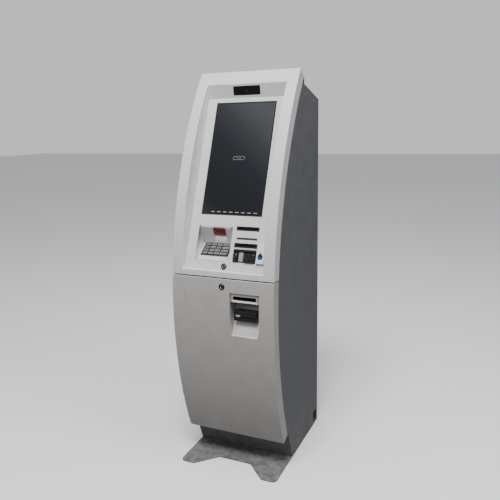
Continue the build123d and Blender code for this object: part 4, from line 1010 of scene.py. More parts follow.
@dataclass
class Fascia:
    """Leaning sheet that fills the recess: the screen, the bay, slots and readers are set in it."""

    axes: Axes
    finishes: Finishes
    half: float = 0.1788
    low: float = -0.4655
    high: float = 0.2615
    gauge: float = 0.002
    screen: tuple[float, float, float, float] = (-0.136, -0.242, 0.136, 0.242)
    bay: tuple[float, float, float, float] = (-0.135, -0.434, 0.017, -0.289)
    receipt: tuple[float, float, float, float] = (0.035, -0.300, 0.132, -0.2855)
    voucher: tuple[float, float, float, float] = (0.0395, -0.3380, 0.128, -0.3295)
    card: tuple[float, float, float, float] = (0.0345, -0.369, 0.132, -0.353)
    reader: tuple[float, float, float, float] = (0.034, -0.430, 0.133, -0.3765)
    finger: tuple[float, float, float, float] = (0.1365, -0.4310, 0.1695, -0.3505)
    tabs: tuple[float, ...] = (-0.092, -0.065, -0.038, -0.011, 0.016, 0.043, 0.070, 0.097)

    def face(self, x: Array, y: Array) -> Array:
        """Point of the fascia's front face."""
        return self.axes.place(np.stack([x, y, np.zeros_like(x)], axis=-1))

    def panel(self) -> None:
        """The sheet with its windows."""
        windows = [Window(box) for box in
                   (self.screen, self.bay, self.receipt, self.voucher, self.card, self.reader)]
        draft = Draft()
        sheet(draft, self.face, (-self.half, self.half), (self.low, self.high), windows, (0.06, 0.06))
        piece = soften(draft.finish("fascia_sheet", facing=(0, -1, 0)), gauge=self.gauge, rim=0.0005)
        fit(piece, "hood", self.finishes[Look.HOOD], Look.HOOD, "fascia_panel")

    def screen_pane(self) -> None:
        """Display glass with a ground edge."""
        x0, y0, x1, y1 = self.screen
        gap = 0.0003
        rings = moulded((x0 + gap, y0 + gap, x1 - gap, y1 - gap), -0.004, -0.0008, 0.0006, 0.0006)
        piece = Draft().loft(self.axes.place(rings)).finish("screen_pane")
        fit(soften(piece), "hood", self.finishes[Look.SCREEN], Look.SCREEN, "display_glass")

    def screen_marks(self) -> None:
        """What the screen shows: an empty outlined button with three dots, and a row of small tabs."""
        pale, bench, shader = start_material("lit_white")
        grain = use_group(bench, "peel", Peel=900.0, Mottle=120.0)
        glow = bench.mix(grain.outputs["Shade"], (0.50, 0.52, 0.54, 1.0), (0.70, 0.71, 0.73, 1.0))
        bench.tree.links.new(glow, shader.inputs["Emission Color"])
        shader.inputs["Emission Strength"].default_value = 0.9
        shader.inputs["Base Color"].default_value = (0.02, 0.02, 0.02, 1.0)
        layer = self.axes.moved(z=-0.00075)
        film = 0.0001
        width, height, line = 0.026, 0.0075, 0.0009
        outer = rounded_box((-width, -height, width, height), 0.0070)
        inner = rounded_box((line - width, line - height, width - line, height - line), 0.0061)
        rings = [lifted(outer, 0.0), lifted(outer, film), lifted(inner, film), lifted(inner, 0.0)]
        draft = Draft().tube(layer.place(np.array(rings)))
        for x in (-0.0085, 0.0, 0.0085):
            draft.loft(layer.moved(x=x).place(prism(circle(0.0016, 24), 0.0, film)))
        for x in self.tabs:
            tab = rounded_box((x, -0.2295, x + 0.016, -0.2268), 0.0012, 3)
            draft.loft(layer.place(prism(tab, 0.0, film)))
        fit(draft.finish("screen_button"), "hood", pale, None)

    def slot_bezel(self, name: str, node: str, box: tuple[float, float, float, float], slit: float) -> None:
        """Glossy black frame with a rolled rim round a slit.

        Args:
            name: the piece's name.
            node: the CAD node it stands for.
            box: the fascia window that it fills.
            slit: height of its slit.
        """
        x0, y0, x1, y1 = box
        middle = (y0 + y1) / 2
        outer = (x0 - 0.0012, y0 - 0.0012, x1 + 0.0012, y1 + 0.0012)
        mouth = (x0 + 0.007, middle - slit / 2, x1 - 0.007, middle + slit / 2)
        levels = [(outer, 0.0, 0.0008, 0.0), (outer, 0.0009, 0.0008, 0.0), (outer, 0.0015, 0.0008, 0.0006),
                  (mouth, 0.0015, 0.0006, -0.0022), (mouth, 0.0010, 0.0006, -0.0009),
                  (mouth, -0.0010, 0.0006, 0.0),
                  (mouth, -0.0120, 0.0006, 0.0)]
        back_box = (x0 + 0.0003, y0 + 0.0003, x1 - 0.0003, y1 - 0.0003)
        levels += [(back_box, -0.0120, 0.0006, 0.0), (back_box, 0.0, 0.0006, 0.0)]
        rings = np.array([
            lifted(rounded_box((b[0] + s, b[1] + s, b[2] - s, b[3] - s), max(r - s, 3e-4)), h)
            for b, h, r, s in levels
        ])
        piece = Draft().tube(self.axes.place(rings)).finish(name)
        fit(soften(piece, rim=0.0002), "hood", self.finishes[Look.GLOSS], Look.GLOSS, node)

    def card_reader(self) -> None:
        """Deep card mouth: two bulging guides, a grey tongue between them, and on each guide a thin dark-metal
        ring that is a painted highlight.
        """
        x0, y0, x1, y1 = self.reader
        face = self.axes
        bed = (x0 + 0.0003, y0 + 0.0003, x1 - 0.0003, y1 - 0.0003)
        draft = Draft().loft(face.place(moulded(bed, -0.010, 0.0015, 0.0012, 0.0008)))
        draft.loft(face.place(moulded((x0 + 0.008, y0 - 0.002, x1 - 0.008, y1 - 0.004), -0.110, -0.0101,
                                      0.002, 0.001)))
        piece = soften(draft.finish("card_mouth_bed"))
        fit(piece, "hood", self.finishes[Look.GLOSS], Look.GLOSS, "card_reader")
        guides = Draft()
        left = (x0 + 0.0015, y0 + 0.0025, x0 + 0.0225, y1 - 0.0165)
        right = (x0 + 0.0505, y0 + 0.0025, x1 - 0.0020, y1 - 0.0165)
        for box, high in ((left, 0.0100), (right, 0.0115)):
            guides.loft(face.place(moulded(box, 0.0014, high, 0.0075, 0.0055, 7)))
        brow = (x0 + 0.0015, y1 - 0.0125, x1 - 0.0020, y1 - 0.0018)
        guides.loft(face.place(moulded(brow, 0.0014, 0.0090, 0.0045, 0.0042, 7)))
        fit(soften(guides.finish("card_guides")), "hood", self.finishes[Look.GLOSS], Look.GLOSS)
        # Thin dark-metal rings on the guides' crowns stand in for the ring-shaped highlights of their gloss:
        # painted highlights.
        highlight_rings = Draft()
        for x_mid in (x0 + 0.012, x0 + 0.073):
            ring = face.moved(x=x_mid, y=y1 - 0.0300, z=0.0100)
            highlight_rings.tube(ring.place(lathe([(0.0052, 0.0), (0.0056, 0.0006), (0.0066, 0.0006), (0.0070, 0.0)],
                                         40)))
        fit(highlight_rings.finish("card_guide_rings"), "hood", self.finishes[Look.LOCK], Look.LOCK)
        tongue = moulded((x0 + 0.0265, y0 + 0.003, x0 + 0.0465, y1 - 0.0135), 0.0014, 0.0058, 0.0035, 0.0028,
                         6)
        piece = Draft().loft(face.place(tongue)).finish("card_tongue")
        grey = Moulding("tongue_plastic", (0.33, 0.31, 0.28), roughness=0.3, coat=0.2).material()
        fit(soften(piece), "hood", grey, Look.GLOSS)

    def fingerprint_reader(self) -> None:
        """Pale wedge that stands out further at its foot, with a drop-shaped sensor in a sunken rim."""
        x0, y0, x1, y1 = self.finger
        thin, thick = 0.0025, 0.0090
        outline = rounded_box(self.finger, 0.0030, 5)
        share = (outline[:, 1] - y0) / (y1 - y0)
        top = thick + (thin - thick) * share
        middle = np.array([(x0 + x1) / 2, (y0 + y1) / 2])

        def ring(scale_in: float, drop: float, flat: float | None = None) -> Array:
            """Outline drawn in by a distance, at a drop below the sloping top."""
            away = outline - middle
            shrink = 1 - scale_in / np.array([(x1 - x0) / 2, (y1 - y0) / 2])
            drawn = middle + away * shrink
            height = (top - drop) if flat is None else np.full(len(outline), flat)
            return np.concatenate([drawn, height[:, None]], axis=1)

        turn = np.linspace(0, pi / 2, 6)
        roll = 0.0018
        rings = np.array([ring(0.0, 0.0, 0.0)] + [ring(roll * (1 - cos(t)),
                                                       roll * (1 - sin(t))) for t in turn])
        piece = Draft().loft(self.axes.place(rings)).finish("finger_wedge")
        fit(soften(piece), "hood", self.finishes[Look.READER], Look.READER, "fingerprint_reader")
        foot, head = self.axes.place(np.array([[0, y0, thick], [0, y1, thin]]))
        slope = leaning(tuple(foot), (head[1] - foot[1], head[2] - foot[2])).moved(x=middle[0], y=0.031)
        angle = np.linspace(0, 2 * pi, 48, endpoint=False)
        drop = np.stack([np.sin(angle) * (1 - 0.34 * np.cos(angle)), np.cos(angle) * 1.32], axis=-1)
        rim = np.array([lifted(drop * r, h) for r, h in
                        ((0.0108, -0.001), (0.0108, 0.0004), (0.0103, 0.0008), (0.0097, 0.0005),
                         (0.0095, -0.001))])
        fit(Draft().tube(slope.place(rim)).finish("finger_rim"), "hood", self.finishes[Look.GLOSS],
            Look.GLOSS)
        dome = [(0.0097, -0.0008), (0.0094, 0.0002), (0.0080, 0.0006), (0.0052, 0.0010), (0.0020, 0.0012)]
        lens = Draft().loft(slope.place(np.array([lifted(drop * r, h) for r, h in dome])))
        fit(lens.finish("finger_lens"), "hood", self.lens_material(slope), Look.READER)

    def lens_material(self, slope: Axes) -> bpy.types.Material:
        """Sensor glass: black above and lit blue below, by height up the wedge."""
        made, bench, shader = start_material("sensor_glass")
        height = bench.add("SeparateXYZ", {0: bench.add("TexCoord").outputs["Object"]}).outputs[2]
        low = bench.span(height, slope.origin[2] + 0.0015, slope.origin[2] - 0.0055)
        smear = use_group(bench, "smear", Size=90.0)
        blue = bench.mix(smear.outputs["Mask"], (0.006, 0.018, 0.16, 1.0), (0.02, 0.05, 0.26, 1.0))
        bench.tree.links.new(bench.mix(low, (0.004, 0.005, 0.010, 1.0), blue), shader.inputs["Base Color"])
        bench.tree.links.new(bench.mix(low, (0, 0, 0, 1.0), (0.01, 0.04, 0.40, 1.0)),
                             shader.inputs["Emission Color"])
        shader.inputs["Emission Strength"].default_value = 0.35
        bench.tree.links.new(bench.math("MULTIPLY_ADD", smear.outputs["Mask"], 0.12, 0.08),
                             shader.inputs["Roughness"])
        shader.inputs["Coat Weight"].default_value = 0.5
        return made

    def build(self) -> None:
        """Makes the fascia and what is set in it."""
        self.panel()
        self.screen_pane()
        self.screen_marks()
        self.slot_bezel("receipt_bezel", "printer_bezel", self.receipt, 0.0036)
        self.slot_bezel("card_bezel", "card_slot_bezel", self.card, 0.0030)
        self.card_reader()
        self.fingerprint_reader()


# ---------------------------------------------------------------- keypad bay
class KeyKind(Enum):
    """What a key is marked with: a sign, or a coloured bar."""

    SIGN = 0
    RED = 1
    YELLOW = 2
    GREEN = 3
    BLUE = 4


@dataclass
class KeypadBay:
    """Three-sided pocket in the fascia: scanner in its back wall, keypad on its shelf."""

    fascia: Fascia
    finishes: Finishes
    deep: tuple[float, float] = (-0.1595, 0.969)
    gauge: float = 0.002
    scanner: tuple[float, float, float, float] = (-0.077, 0.044, -0.021, 0.010)
    keypad: tuple[float, float, float, float] = (-0.121, 0.029, 0.003, 0.099)
    margin: float = 0.0075
    first_row: float = 0.006
    pitch: float = 0.0155
    key_up: float = 0.0115
    number: float = 0.021
    function: float = 0.031
    gap: float = 0.005
    crown: float = 0.0050

    def __post_init__(self) -> None:
        """Works out the shelf and the wall from the fascia."""
        _, y0, _, y1 = self.fascia.bay
        self.low = self.fascia.axes.place(np.array([0.0, y0, 0.0]))
        self.top = self.fascia.axes.place(np.array([0.0, y1, 0.0]))
        deep = np.array([0.0, *self.deep])
        self.shelf = leaning(tuple(self.low), tuple(deep[1:] - self.low[1:]))
        self.wall = leaning(tuple(deep), tuple(self.top[1:] - deep[1:]))
        self.shelf_length = float(np.linalg.norm(deep - self.low))
        self.wall_length = float(np.linalg.norm(self.top - deep))

    def pocket(self) -> None:
        """Folded pocket: shelf, back wall with the scanner's window, and two cheeks."""
        x0, _, x1, _ = self.fascia.bay
        draft = Draft()
        inset = 0.004
        plate = self.keypad
        bed = Window((plate[0] + inset, plate[1] + inset, plate[2] - inset, plate[3] - inset))
        sx0, down, sx1, up = self.scanner
        eye = Window((sx0, self.wall_length - down, sx1, self.wall_length - up), 0.004)

        def on_shelf(x: Array, y: Array) -> Array:
            """Point of the shelf."""
            return self.shelf.place(np.stack([x, y, np.zeros_like(x)], axis=-1))

        def on_wall(x: Array, y: Array) -> Array:
            """Point of the back wall."""
            return self.wall.place(np.stack([x, y, np.zeros_like(x)], axis=-1))

        shared = [bed.box[0], bed.box[2], sx0, sx0 + eye.radius, sx1 - eye.radius, sx1]
        _, run = sheet(draft, on_shelf, (x0, x1), (0.0, self.shelf_length), [bed], (1.0, 1.0), (shared, ()))
        _, climb = sheet(draft, on_wall, (x0, x1), (0.0, self.wall_length), [eye], (1.0, 1.0), (shared, ()))
        for x in (x0, x1):
            draft.face(np.concatenate([on_shelf(np.full_like(run, x), run),
                                       on_wall(np.full_like(climb, x), climb)[1:]]))
        piece = soften(draft.finish("bay_pocket"))
        inside = Vector(((x0 + x1) / 2, *((self.low + self.top) / 2)[1:])) + Vector((0.0, 0.01, 0.01))
        turn_inward(piece, inside, weld=1e-5)
        made = piece.modifiers.new("gauge", "SOLIDIFY")
        made.thickness, made.offset, made.use_even_offset = self.gauge, -1.0, True
        fit(piece, "hood", self.finishes[Look.HOOD], Look.HOOD, "keypad_bay")

    def scanner_eye(self) -> None:
        """Red window of the code scanner: a shallow dome with a dark split lens behind a rim."""
        sx0, down, sx1, up = self.scanner
        box = (sx0 + 0.0003, self.wall_length - down + 0.0003, sx1 - 0.0003, self.wall_length - up - 0.0003)
        draft = Draft().loft(self.wall.place(moulded(box, -0.006, 0.0008, 0.0038, 0.0008)))
        draft.loft(self.wall.place(moulded((sx0 - 0.005, self.wall_length - down - 0.005, sx1 + 0.005,
                                            self.wall_length - up + 0.005), -0.034, -0.00205, 0.002, 0.001)))
        fit(soften(draft.finish("scanner_window")), "hood", self.finishes[Look.SCANNER], Look.SCANNER,
            "code_scanner")
        middle_y = self.wall_length - (down + up) / 2
        heart = Draft()
        for shift, radius in ((-0.010, 0.0085), (0.009, 0.0085)):
            place = self.wall.moved(x=(sx0 + sx1) / 2 + shift, y=middle_y, z=0.0008)
            heart.loft(place.place(lathe([(radius, 0.0), (radius * 0.97, 0.0006), (radius * 0.8, 0.0011),
                                          (radius * 0.45, 0.0014), (radius * 0.1, 0.0015)])))
        dark = Moulding("scanner_heart", (0.055, 0.002, 0.004), roughness=0.08, coat=0.8,
                        glow=0.05).material()
        fit(heart.finish("scanner_lenses"), "hood", dark, Look.SCANNER)

    def plate(self) -> None:
        """Keypad bed: a black plate with a rolled rim, its keys in wells."""
        windows = [Window((x - w / 2 - 0.0004, y - self.key_up / 2 - 0.0004,
                           x + w / 2 + 0.0004, y + self.key_up / 2 + 0.0004)) for _, x, y, w,
                           _ in self.keys()]
        lifted_shelf = self.shelf.moved(z=0.0020)

        def on_plate(x: Array, y: Array) -> Array:
            """Point of the plate's face."""
            return lifted_shelf.place(np.stack([x, y, np.zeros_like(x)], axis=-1))

        x0, y0, x1, y1 = self.keypad
        draft = Draft()
        sheet(draft, on_plate, (x0, x1), (y0, y1), windows, (0.05, 0.05))
        piece = soften(draft.finish("keypad_bed", facing=(0, -0.5844, 0.8115)), gauge=0.0019, rim=0.0005)
        fit(piece, "hood", self.finishes[Look.PLATE], Look.PLATE, "keypad_plate")
        under = Draft().loft(self.shelf.place(moulded((x0 + 0.0045, y0 + 0.0045, x1 - 0.0045, y1 - 0.0045),
                                                      -0.009,
                                                      -0.0062, 0.001, 0.0005)))
        fit(under.finish("keypad_membrane"), "hood", self.finishes[Look.MODULE], Look.MODULE)

    def keys(self) -> list[tuple[str, float, float, float, KeyKind]]:
        """Name, middle, width and mark of each key, bottom row first."""
        rows = (
            (("star", "*"), ("0", "0"), ("hash", "#"), ("menu", KeyKind.BLUE)),
            (("7", "7"), ("8", "8"), ("9", "9"), ("enter", KeyKind.GREEN)),
            (("4", "4"), ("5", "5"), ("6", "6"), ("clear", KeyKind.YELLOW)),
            (("1", "1"), ("2", "2"), ("3", "3"), ("cancel", KeyKind.RED)),
        )
        made = []
        for row, names in enumerate(rows):
            y = self.keypad[1] + self.first_row + self.key_up / 2 + self.pitch * row
            x = self.keypad[0] + self.margin
            for column, (name, mark) in enumerate(names):
                width = self.function if column == 3 else self.number
                made.append(("key_" + name, x + width / 2, y, width, mark))
                x += width + self.gap
        return made

    def key_caps(self) -> None:
        """Steel caps with rolled edges and a dished crown, each with its mark."""
        colours = {
            KeyKind.RED: (0.42, 0.02, 0.02), KeyKind.YELLOW: (0.55, 0.34, 0.02),
            KeyKind.GREEN: (0.03, 0.26, 0.06), KeyKind.BLUE: (0.03, 0.08, 0.30),
        }
        ink = Moulding("key_ink", (0.02, 0.02, 0.022), roughness=0.5).material()
        enamel = {kind: Moulding("enamel_" + kind.name.lower(), colour, roughness=0.25, coat=0.4).material()
                  for kind, colour in colours.items()}
        for name, x, y, width, mark in self.keys():
            box = (x - width / 2, y - self.key_up / 2, x + width / 2, y + self.key_up / 2)
            rings = moulded(box, -0.0034, self.crown, 0.0014, 0.0012)
            dish = [lifted(rounded_box((box[0] + s, box[1] + s, box[2] - s, box[3] - s), 0.0010), h)
                    for s, h in ((0.0024, self.crown - 0.00015), (0.0042, self.crown - 0.0003))]
            draft = Draft().loft(self.shelf.place(np.concatenate([rings, np.array(dish)])))
            fit(soften(draft.finish(name + "_cap")), name, self.finishes[Look.KEY], Look.KEY, name)
            if isinstance(mark, KeyKind):
                bar_box = rounded_box((x - width * 0.34, y - 0.0020, x + width * 0.34, y + 0.0020), 0.0012, 4)
                draft = Draft().loft(self.shelf.place(prism(bar_box, self.crown - 0.0004, self.crown)))
                fit(draft.finish(name + "_bar"), name, enamel[mark], Look.KEY)
            else:
                self.sign(name, mark, x, y, ink)

    def sign(self, name: str, mark: str, x: float, y: float, ink: bpy.types.Material) -> None:
        """A sign set into a key's crown.

        Args:
            name: the key's name, which is its body's too.
            mark: the character.
            x: middle of the key across the shelf.
            y: middle of the key up the shelf.
            ink: its material.
        """
        text = bpy.data.curves.new(name + "_sign", "FONT")
        text.body, text.size, text.extrude = mark, 0.0085, 0.0001
        text.align_x, text.align_y = "CENTER", "CENTER"
        text.resolution_u = 3
        maker = bpy.data.objects.new("sign_maker", text)
        bpy.context.scene.collection.objects.link(maker)
        shape = bpy.data.meshes.new_from_object(maker.evaluated_get(bpy.context.evaluated_depsgraph_get()))
        bpy.data.objects.remove(maker)
        points = np.empty(len(shape.vertices) * 3)
        shape.vertices.foreach_get("co", points)
        place = self.shelf.moved(x=x, y=y, z=self.crown - 0.00025)
        shape.vertices.foreach_set("co", place.place(points.reshape(-1, 3)).ravel())
        shape.update()
        shape.materials.clear()
        piece = bpy.data.objects.new(name + "_sign", shape)
        bpy.context.scene.collection.objects.link(piece)
        fit(piece, name, ink, Look.KEY)

    def build(self) -> None:
        """Makes the bay and what it holds."""
        self.pocket()
        self.scanner_eye()
        self.plate()
        self.key_caps()


# ---------------------------------------------------------------- locks
@dataclass
class CamLock:
    """Round cam lock: a ring and sleeve on one body, a plug with its cam on another."""

    name: str
    face: Axes
    body: str
    core_body: str
    nodes: tuple[str, str]
    cam_depth: float
    cam_reach: float
    finishes: Finishes
    ring: float = 0.013
    sleeve: float = 0.0094
    plug: float = 0.006
    length: float = 0.030

    def build(self) -> None:
        """Makes the ring and the plug, and a bright chrome ring that is a painted highlight."""
        r = self.ring
        barrel = [(self.plug + 0.00005, -self.length + 0.003), (self.plug + 0.00005, 0.0018),
                  (self.plug + 0.0008, 0.0024), (r - 0.0042, 0.0030), (r - 0.0022, 0.0029),
                  (r - 0.0008, 0.0022),
                  (r, 0.0010), (r, 0.0), (self.sleeve, 0.0), (self.sleeve, -self.length + 0.003)]
        piece = Draft().tube(self.face.place(lathe(barrel))).finish(self.name + "_ring")
        fit(soften(piece), self.body, self.finishes[Look.LOCK], Look.LOCK, self.nodes[0])
        p = self.plug
        plug = [(0.004, -self.cam_depth), (0.004, 0.0024 - self.length), (p, 0.0024 - self.length),
                (p, 0.0018),
                (p - 0.0007, 0.0024), (p - 0.0022, 0.0024), (p - 0.0026, 0.0018)]
        draft = Draft().loft(self.face.place(lathe(plug, 40)))
        cam = rounded_outline(np.array([(-0.006, -0.006), (self.cam_reach, -0.006), (self.cam_reach, 0.006),
                                        (-0.006, 0.006)]), 0.0045)
        draft.loft(self.face.place(prism(cam, -self.cam_depth - 0.0015, -self.cam_depth + 0.0015)))
        piece = draft.finish(self.name + "_plug")
        fit(soften(piece, rim=0.0002), self.core_body, self.finishes[Look.LOCK], Look.LOCK, self.nodes[1])
        key_slot = rounded_box((-0.0007, -0.0030, 0.0007, 0.0030), 0.0005, 3)
        dark = Draft().loft(self.face.place(prism(key_slot, 0.0016, 0.00185)))
        fit(dark.finish(self.name + "_keyway"), self.core_body, self.finishes[Look.GLOSS], Look.LOCK)
        # A thin bright chrome ring round the plug stands in for the lock's C-shaped highlight: painted highlight.
        glint = [(p + 0.0002, 0.0020), (p + 0.0002, 0.0026), (p + 0.0011, 0.0026), (p + 0.0011, 0.0020)]
        bright = Draft().tube(self.face.place(lathe(glint, 48)))
        fit(bright.finish(self.name + "_liner"), self.body, self.finishes[Look.ROD], Look.LOCK)


# ---------------------------------------------------------------- door
@dataclass
class Door:
    """Bowed lower door with a blank plate, a cash pocket and the bill mouth."""

    bow: Bow
    half: float
    finishes: Finishes
    low: float = 0.1243
    high: float = 0.849
    flange: float = 0.050
    gauge: float = 0.002
    pocket: tuple[float, float, float, float] = (0.036, 0.619, 0.163, 0.796)
    blank: tuple[float, float, float, float] = (-0.168, 0.617, -0.035, 0.796)
    plate_back: float = 0.010
    roof: float = 0.757
    roof_back: float = 0.070
    sill_back: float = 0.009
    sill: float = 0.622
    outlet: tuple[float, float, float, float] = (0.049, 0.767, 0.149, 0.7825)
    bill: tuple[float, float, float, float] = (0.0505, 0.680, 0.1485, 0.720)

    def y_at(self, distance: float) -> float:
        """y of a point that lies a distance behind the bow's foremost line."""
        return self.bow.front + distance

    def skin(self) -> None:
        """Front skin with its two windows, and four flanges."""
        draft = Draft()
        windows = [Window(self.pocket), Window(self.blank, 0.007)]
        u, v = sheet(draft, self.bow.point, (-self.half, self.half), (self.low, self.high), windows,
                     (0.06, 0.014))
        depth = np.array([0.0, 0.025, self.flange])
        for side in (-self.half, self.half):
            draft.grid(self.bow.point(side, v[:, None], depth[None, :]))
        for level in (self.low, self.high):
            draft.grid(self.bow.point(u[:, None], level, depth[None, :]))
        piece = soften(draft.finish("door_skin", facing=(0, -1, 0)), bend=0.0022, gauge=self.gauge,
                       rim=0.0004)
        fit(piece, "door", self.finishes[Look.DOOR], Look.DOOR, "door_shell")

    def blank_cover(self) -> None:
        """Plate that closes the spare window, flush with the skin, on a backing sheet."""
        gap = 0.0005
        x0, z0, x1, z1 = self.blank
        outline = rounded_box((x0 + gap, z0 + gap, x1 - gap, z1 - gap), 0.0065, 6)
        middle = np.array([(x0 + x1) / 2, (z0 + z1) / 2])
        size = np.array([(x1 - x0) / 2, (z1 - z0) / 2])
        eased = 0.0004
        rings = []
        for inset, drawn in ((0.0020, 0.0), (0.0004, 0.0), (0.00012, 0.00015), (0.0, eased)):
            loop = middle + (outline - middle) * (1 - drawn / size)
            rings.append(self.bow.point(loop[:, 0], loop[:, 1], inset))
        draft = Draft().loft(np.array(rings), caps=False)
        share = np.linspace(1.0, 0.05, 8)[:, None, None]
        last = middle + (outline - middle) * (1 - eased / size)
        loops = middle + (last - middle)[None] * share
        draft.loft(self.bow.point(loops[..., 0], loops[..., 1], 0.0), caps=False)
        draft.face(self.bow.point(loops[-1][:, 0], loops[-1][:, 1], 0.0))
        back = self.bow.point(*np.meshgrid([x0 - 0.010, x1 + 0.010], np.linspace(z0 - 0.010, z1 + 0.010, 14),
                                           indexing="ij"), 0.00205)
        draft.grid(back)
        piece = draft.finish("blank_cover", facing=(0, -1, 0))
        fit(soften(piece), "door", self.finishes[Look.DOOR], Look.DOOR, "blank_plate")

    def pocket_walls(self) -> None:
        """Folded pocket: outlet plate, step, roof, sloping back with the bill window, sill and cheeks."""
        x0, z0, x1, z1 = self.pocket
        y = self.y_at
        profile = np.array([
            (self.bow.y(z1, self.gauge), z1), (y(self.plate_back), z1), (y(self.plate_back), self.roof),
            (y(self.roof_back), self.roof), (y(self.sill_back), self.sill), (self.bow.y(z0, self.gauge), z0),
        ])
        draft = Draft()
        ox0, oz0, ox1, oz1 = self.outlet
        bx0, bz0, bx1, bz1 = self.bill
        lap = 0.003
        run = profile[4] - profile[3]
        scale = float(np.linalg.norm(run)) / (self.roof - self.sill)
        windows = {
            1: [Window((ox0, z1 - oz1, ox1, z1 - oz0), 0.001)],
            3: [Window((bx0 + lap, (self.roof - bz1 + lap) * scale, bx1 - lap,
                        (self.roof - bz0 - lap) * scale))],
        }
        shared = [ox0, ox0 + 0.001, ox1 - 0.001, ox1, bx0 + lap, bx1 - lap]
        folds = []
        for index in range(len(profile) - 1):
            start, way = profile[index], profile[index + 1] - profile[index]
            length = float(np.linalg.norm(way))
            way = way / length

            def along(x: Array, s: Array, start: Array = start, way: Array = way) -> Array:
                """Point of this fold."""
                return np.stack([x, start[0] + way[0] * s, start[1] + way[1] * s], axis=-1)

            _, steps = sheet(draft, along, (x0, x1), (0.0, length), windows.get(index, []), (1.0, 1.0),
                             (shared, ()))
            folds.append(along(np.zeros_like(steps), steps)[:-1, 1:])
        curve = [(self.bow.y(z, self.gauge), z) for z in np.linspace(z0, z1, 12)[:-1]]
        cheek = np.concatenate([*folds, curve])
        for x in (x0, x1):
            draft.face(np.concatenate([np.full((len(cheek), 1), x), cheek], axis=1))
        piece = draft.finish("pocket_walls")
        turn_inward(piece, Vector(((x0 + x1) / 2, y(0.012), 0.735)))
        soften(piece, gauge=self.gauge)
        fit(piece, "door", self.finishes[Look.DOOR], Look.DOOR, "cash_pocket")
        lip = Draft()
        lip_box = (ox0 - 0.0015, oz0 - 0.0015, ox1 + 0.0015, oz1 + 0.0015)
        plane = leaning((0.0, y(self.plate_back), 0.0), (0.0, 1.0))
        outer = rounded_box(lip_box, 0.0022)
        inner = rounded_box((ox0 + 0.0012, oz0 + 0.0012, ox1 - 0.0012, oz1 - 0.0012), 0.0010)
        ease, fit_gap, back = 4e-4, 3e-4, -0.0040
        eased = rounded_box((lip_box[0] + ease, lip_box[1] + ease, lip_box[2] - ease, lip_box[3] - ease),
                            0.0018)
        neck = rounded_box((ox0 + fit_gap, oz0 + fit_gap, ox1 - fit_gap, oz1 - fit_gap), 0.0010)
        rings = np.array([lifted(outer, 0.0), lifted(outer, 0.0008), lifted(eased, 0.0010),
                          lifted(inner, 0.0008), lifted(inner, back), lifted(neck, back)])
        lip.tube(plane.place(rings))
        fit(soften(lip.finish("outlet_lip")), "door", self.finishes[Look.GLOSS], Look.GLOSS)

    def back_y(self, z: float) -> float:
        """y of the pocket's sloping back at a height."""
        share = (z - self.sill) / (self.roof - self.sill)
        return self.y_at(self.sill_back + share * (self.roof_back - self.sill_back))

    def bill_mouth(self) -> None:
        """Black bill mouth: a ribbed upright face over a chin, a slit and a small grey tab."""
        x0, z0, x1, z1 = self.bill
        face = leaning((0.0, self.y_at(0.010), 0.0), (0.0, 1.0))
        slit = (z0 + 0.0150, z0 + 0.0186)
        heights = [z0, z0 + 0.0030, z0 + 0.0050, slit[0] - 0.0012, slit[0], slit[0] + 0.0001,
                   slit[1] - 0.0001,
                   slit[1], slit[1] + 0.0010]
        outs = [-0.0040, -0.0015, 0.0, 0.0, -0.0010, -0.0140, -0.0140, -0.0010, 0.0]
        ribs = slit[1] + 0.0030 + 0.0045 * np.arange(4)
        for z in ribs:
            heights += [z, z + 0.0006, z + 0.0016, z + 0.0022]
            outs += [0.0, -0.0012, -0.0012, 0.0]
        heights += [z1 - 0.0008, z1]
        outs += [0.0, -0.0008]
        heights_a, outs_a = np.array(heights), np.array(outs)
        x = np.array([x0, x0 + 0.0008, x0 + 0.0085, x0 + 0.0090, x0 + 0.0290, x0 + 0.0300, x1 - 0.0045,
                      x1 - 0.0035,
                      x1 - 0.0008, x1])
        ribbed = np.array([0, 0, 0, 0, 0, 1, 1, 0, 0, 0], float)
        slitted = np.array([0, 0, 0, 1, 1, 1, 1, 0, 0, 0], float)
        rim = np.array([-0.0008, 0, 0, 0, 0, 0, 0, 0, 0, -0.0008])
        in_slit = (heights_a > slit[0] - 0.0013) & (heights_a < slit[1] + 0.0011)
        in_rib = heights_a > slit[1] + 0.0011
        weight = np.where(in_slit[None, :], slitted[:, None], np.where(in_rib[None, :], ribbed[:, None], 1.0))
        weight[:, -1] = 1.0
        z_grid = np.broadcast_to(heights_a, (len(x), len(heights_a)))
        front = np.stack([np.broadcast_to(x[:, None], z_grid.shape), z_grid,
                          outs_a[None, :] * weight + rim[:, None]],
                         axis=-1)
        draft = Draft().grid(face.place(front))
        placed = face.place(front)
        back = placed.copy()
        for column in (0, -1):
            back[column, :, 1] = [self.back_y(z) for z in heights_a]
            draft.grid(np.stack([placed[column], back[column]], axis=0))
        for row, z in ((0, z0), (-1, z1)):
            back[:, row, 1] = self.back_y(z)
            draft.grid(np.stack([placed[:, row], back[:, row]], axis=0))
        piece = draft.finish("bill_mouth", facing=(0, -1, 0))
        black = Moulding("bill_plastic", (0.014, 0.014, 0.015), roughness=0.28, coat=0.2).material()
        fit(soften(piece), "door", black, Look.GLOSS, "bill_bezel")
        neck = Draft().loft(face.place(moulded((x0 + 0.0035, z0 + 0.0035, x1 - 0.0035, z1 - 0.0035), -0.0675,
                                               -0.0300,
                                               0.001, 0.0005)))
        fit(neck.finish("bill_neck"), "door", self.finishes[Look.MODULE], Look.MODULE)
        tab = Draft().loft(face.place(moulded((x0 + 0.0080, z1 - 0.0215, x0 + 0.0270, z1 - 0.0135), -0.0005,
                                              0.0007,
                                              0.0012, 0.0005)))
        grey = Moulding("tab_print", (0.42, 0.43, 0.44), roughness=0.35).material()
        fit(soften(tab.finish("bill_tab")), "door", grey, Look.GLOSS)

    def build(self) -> None:
        """Makes the door's pieces."""
        self.skin()
        self.blank_cover()
        self.pocket_walls()
        self.bill_mouth()


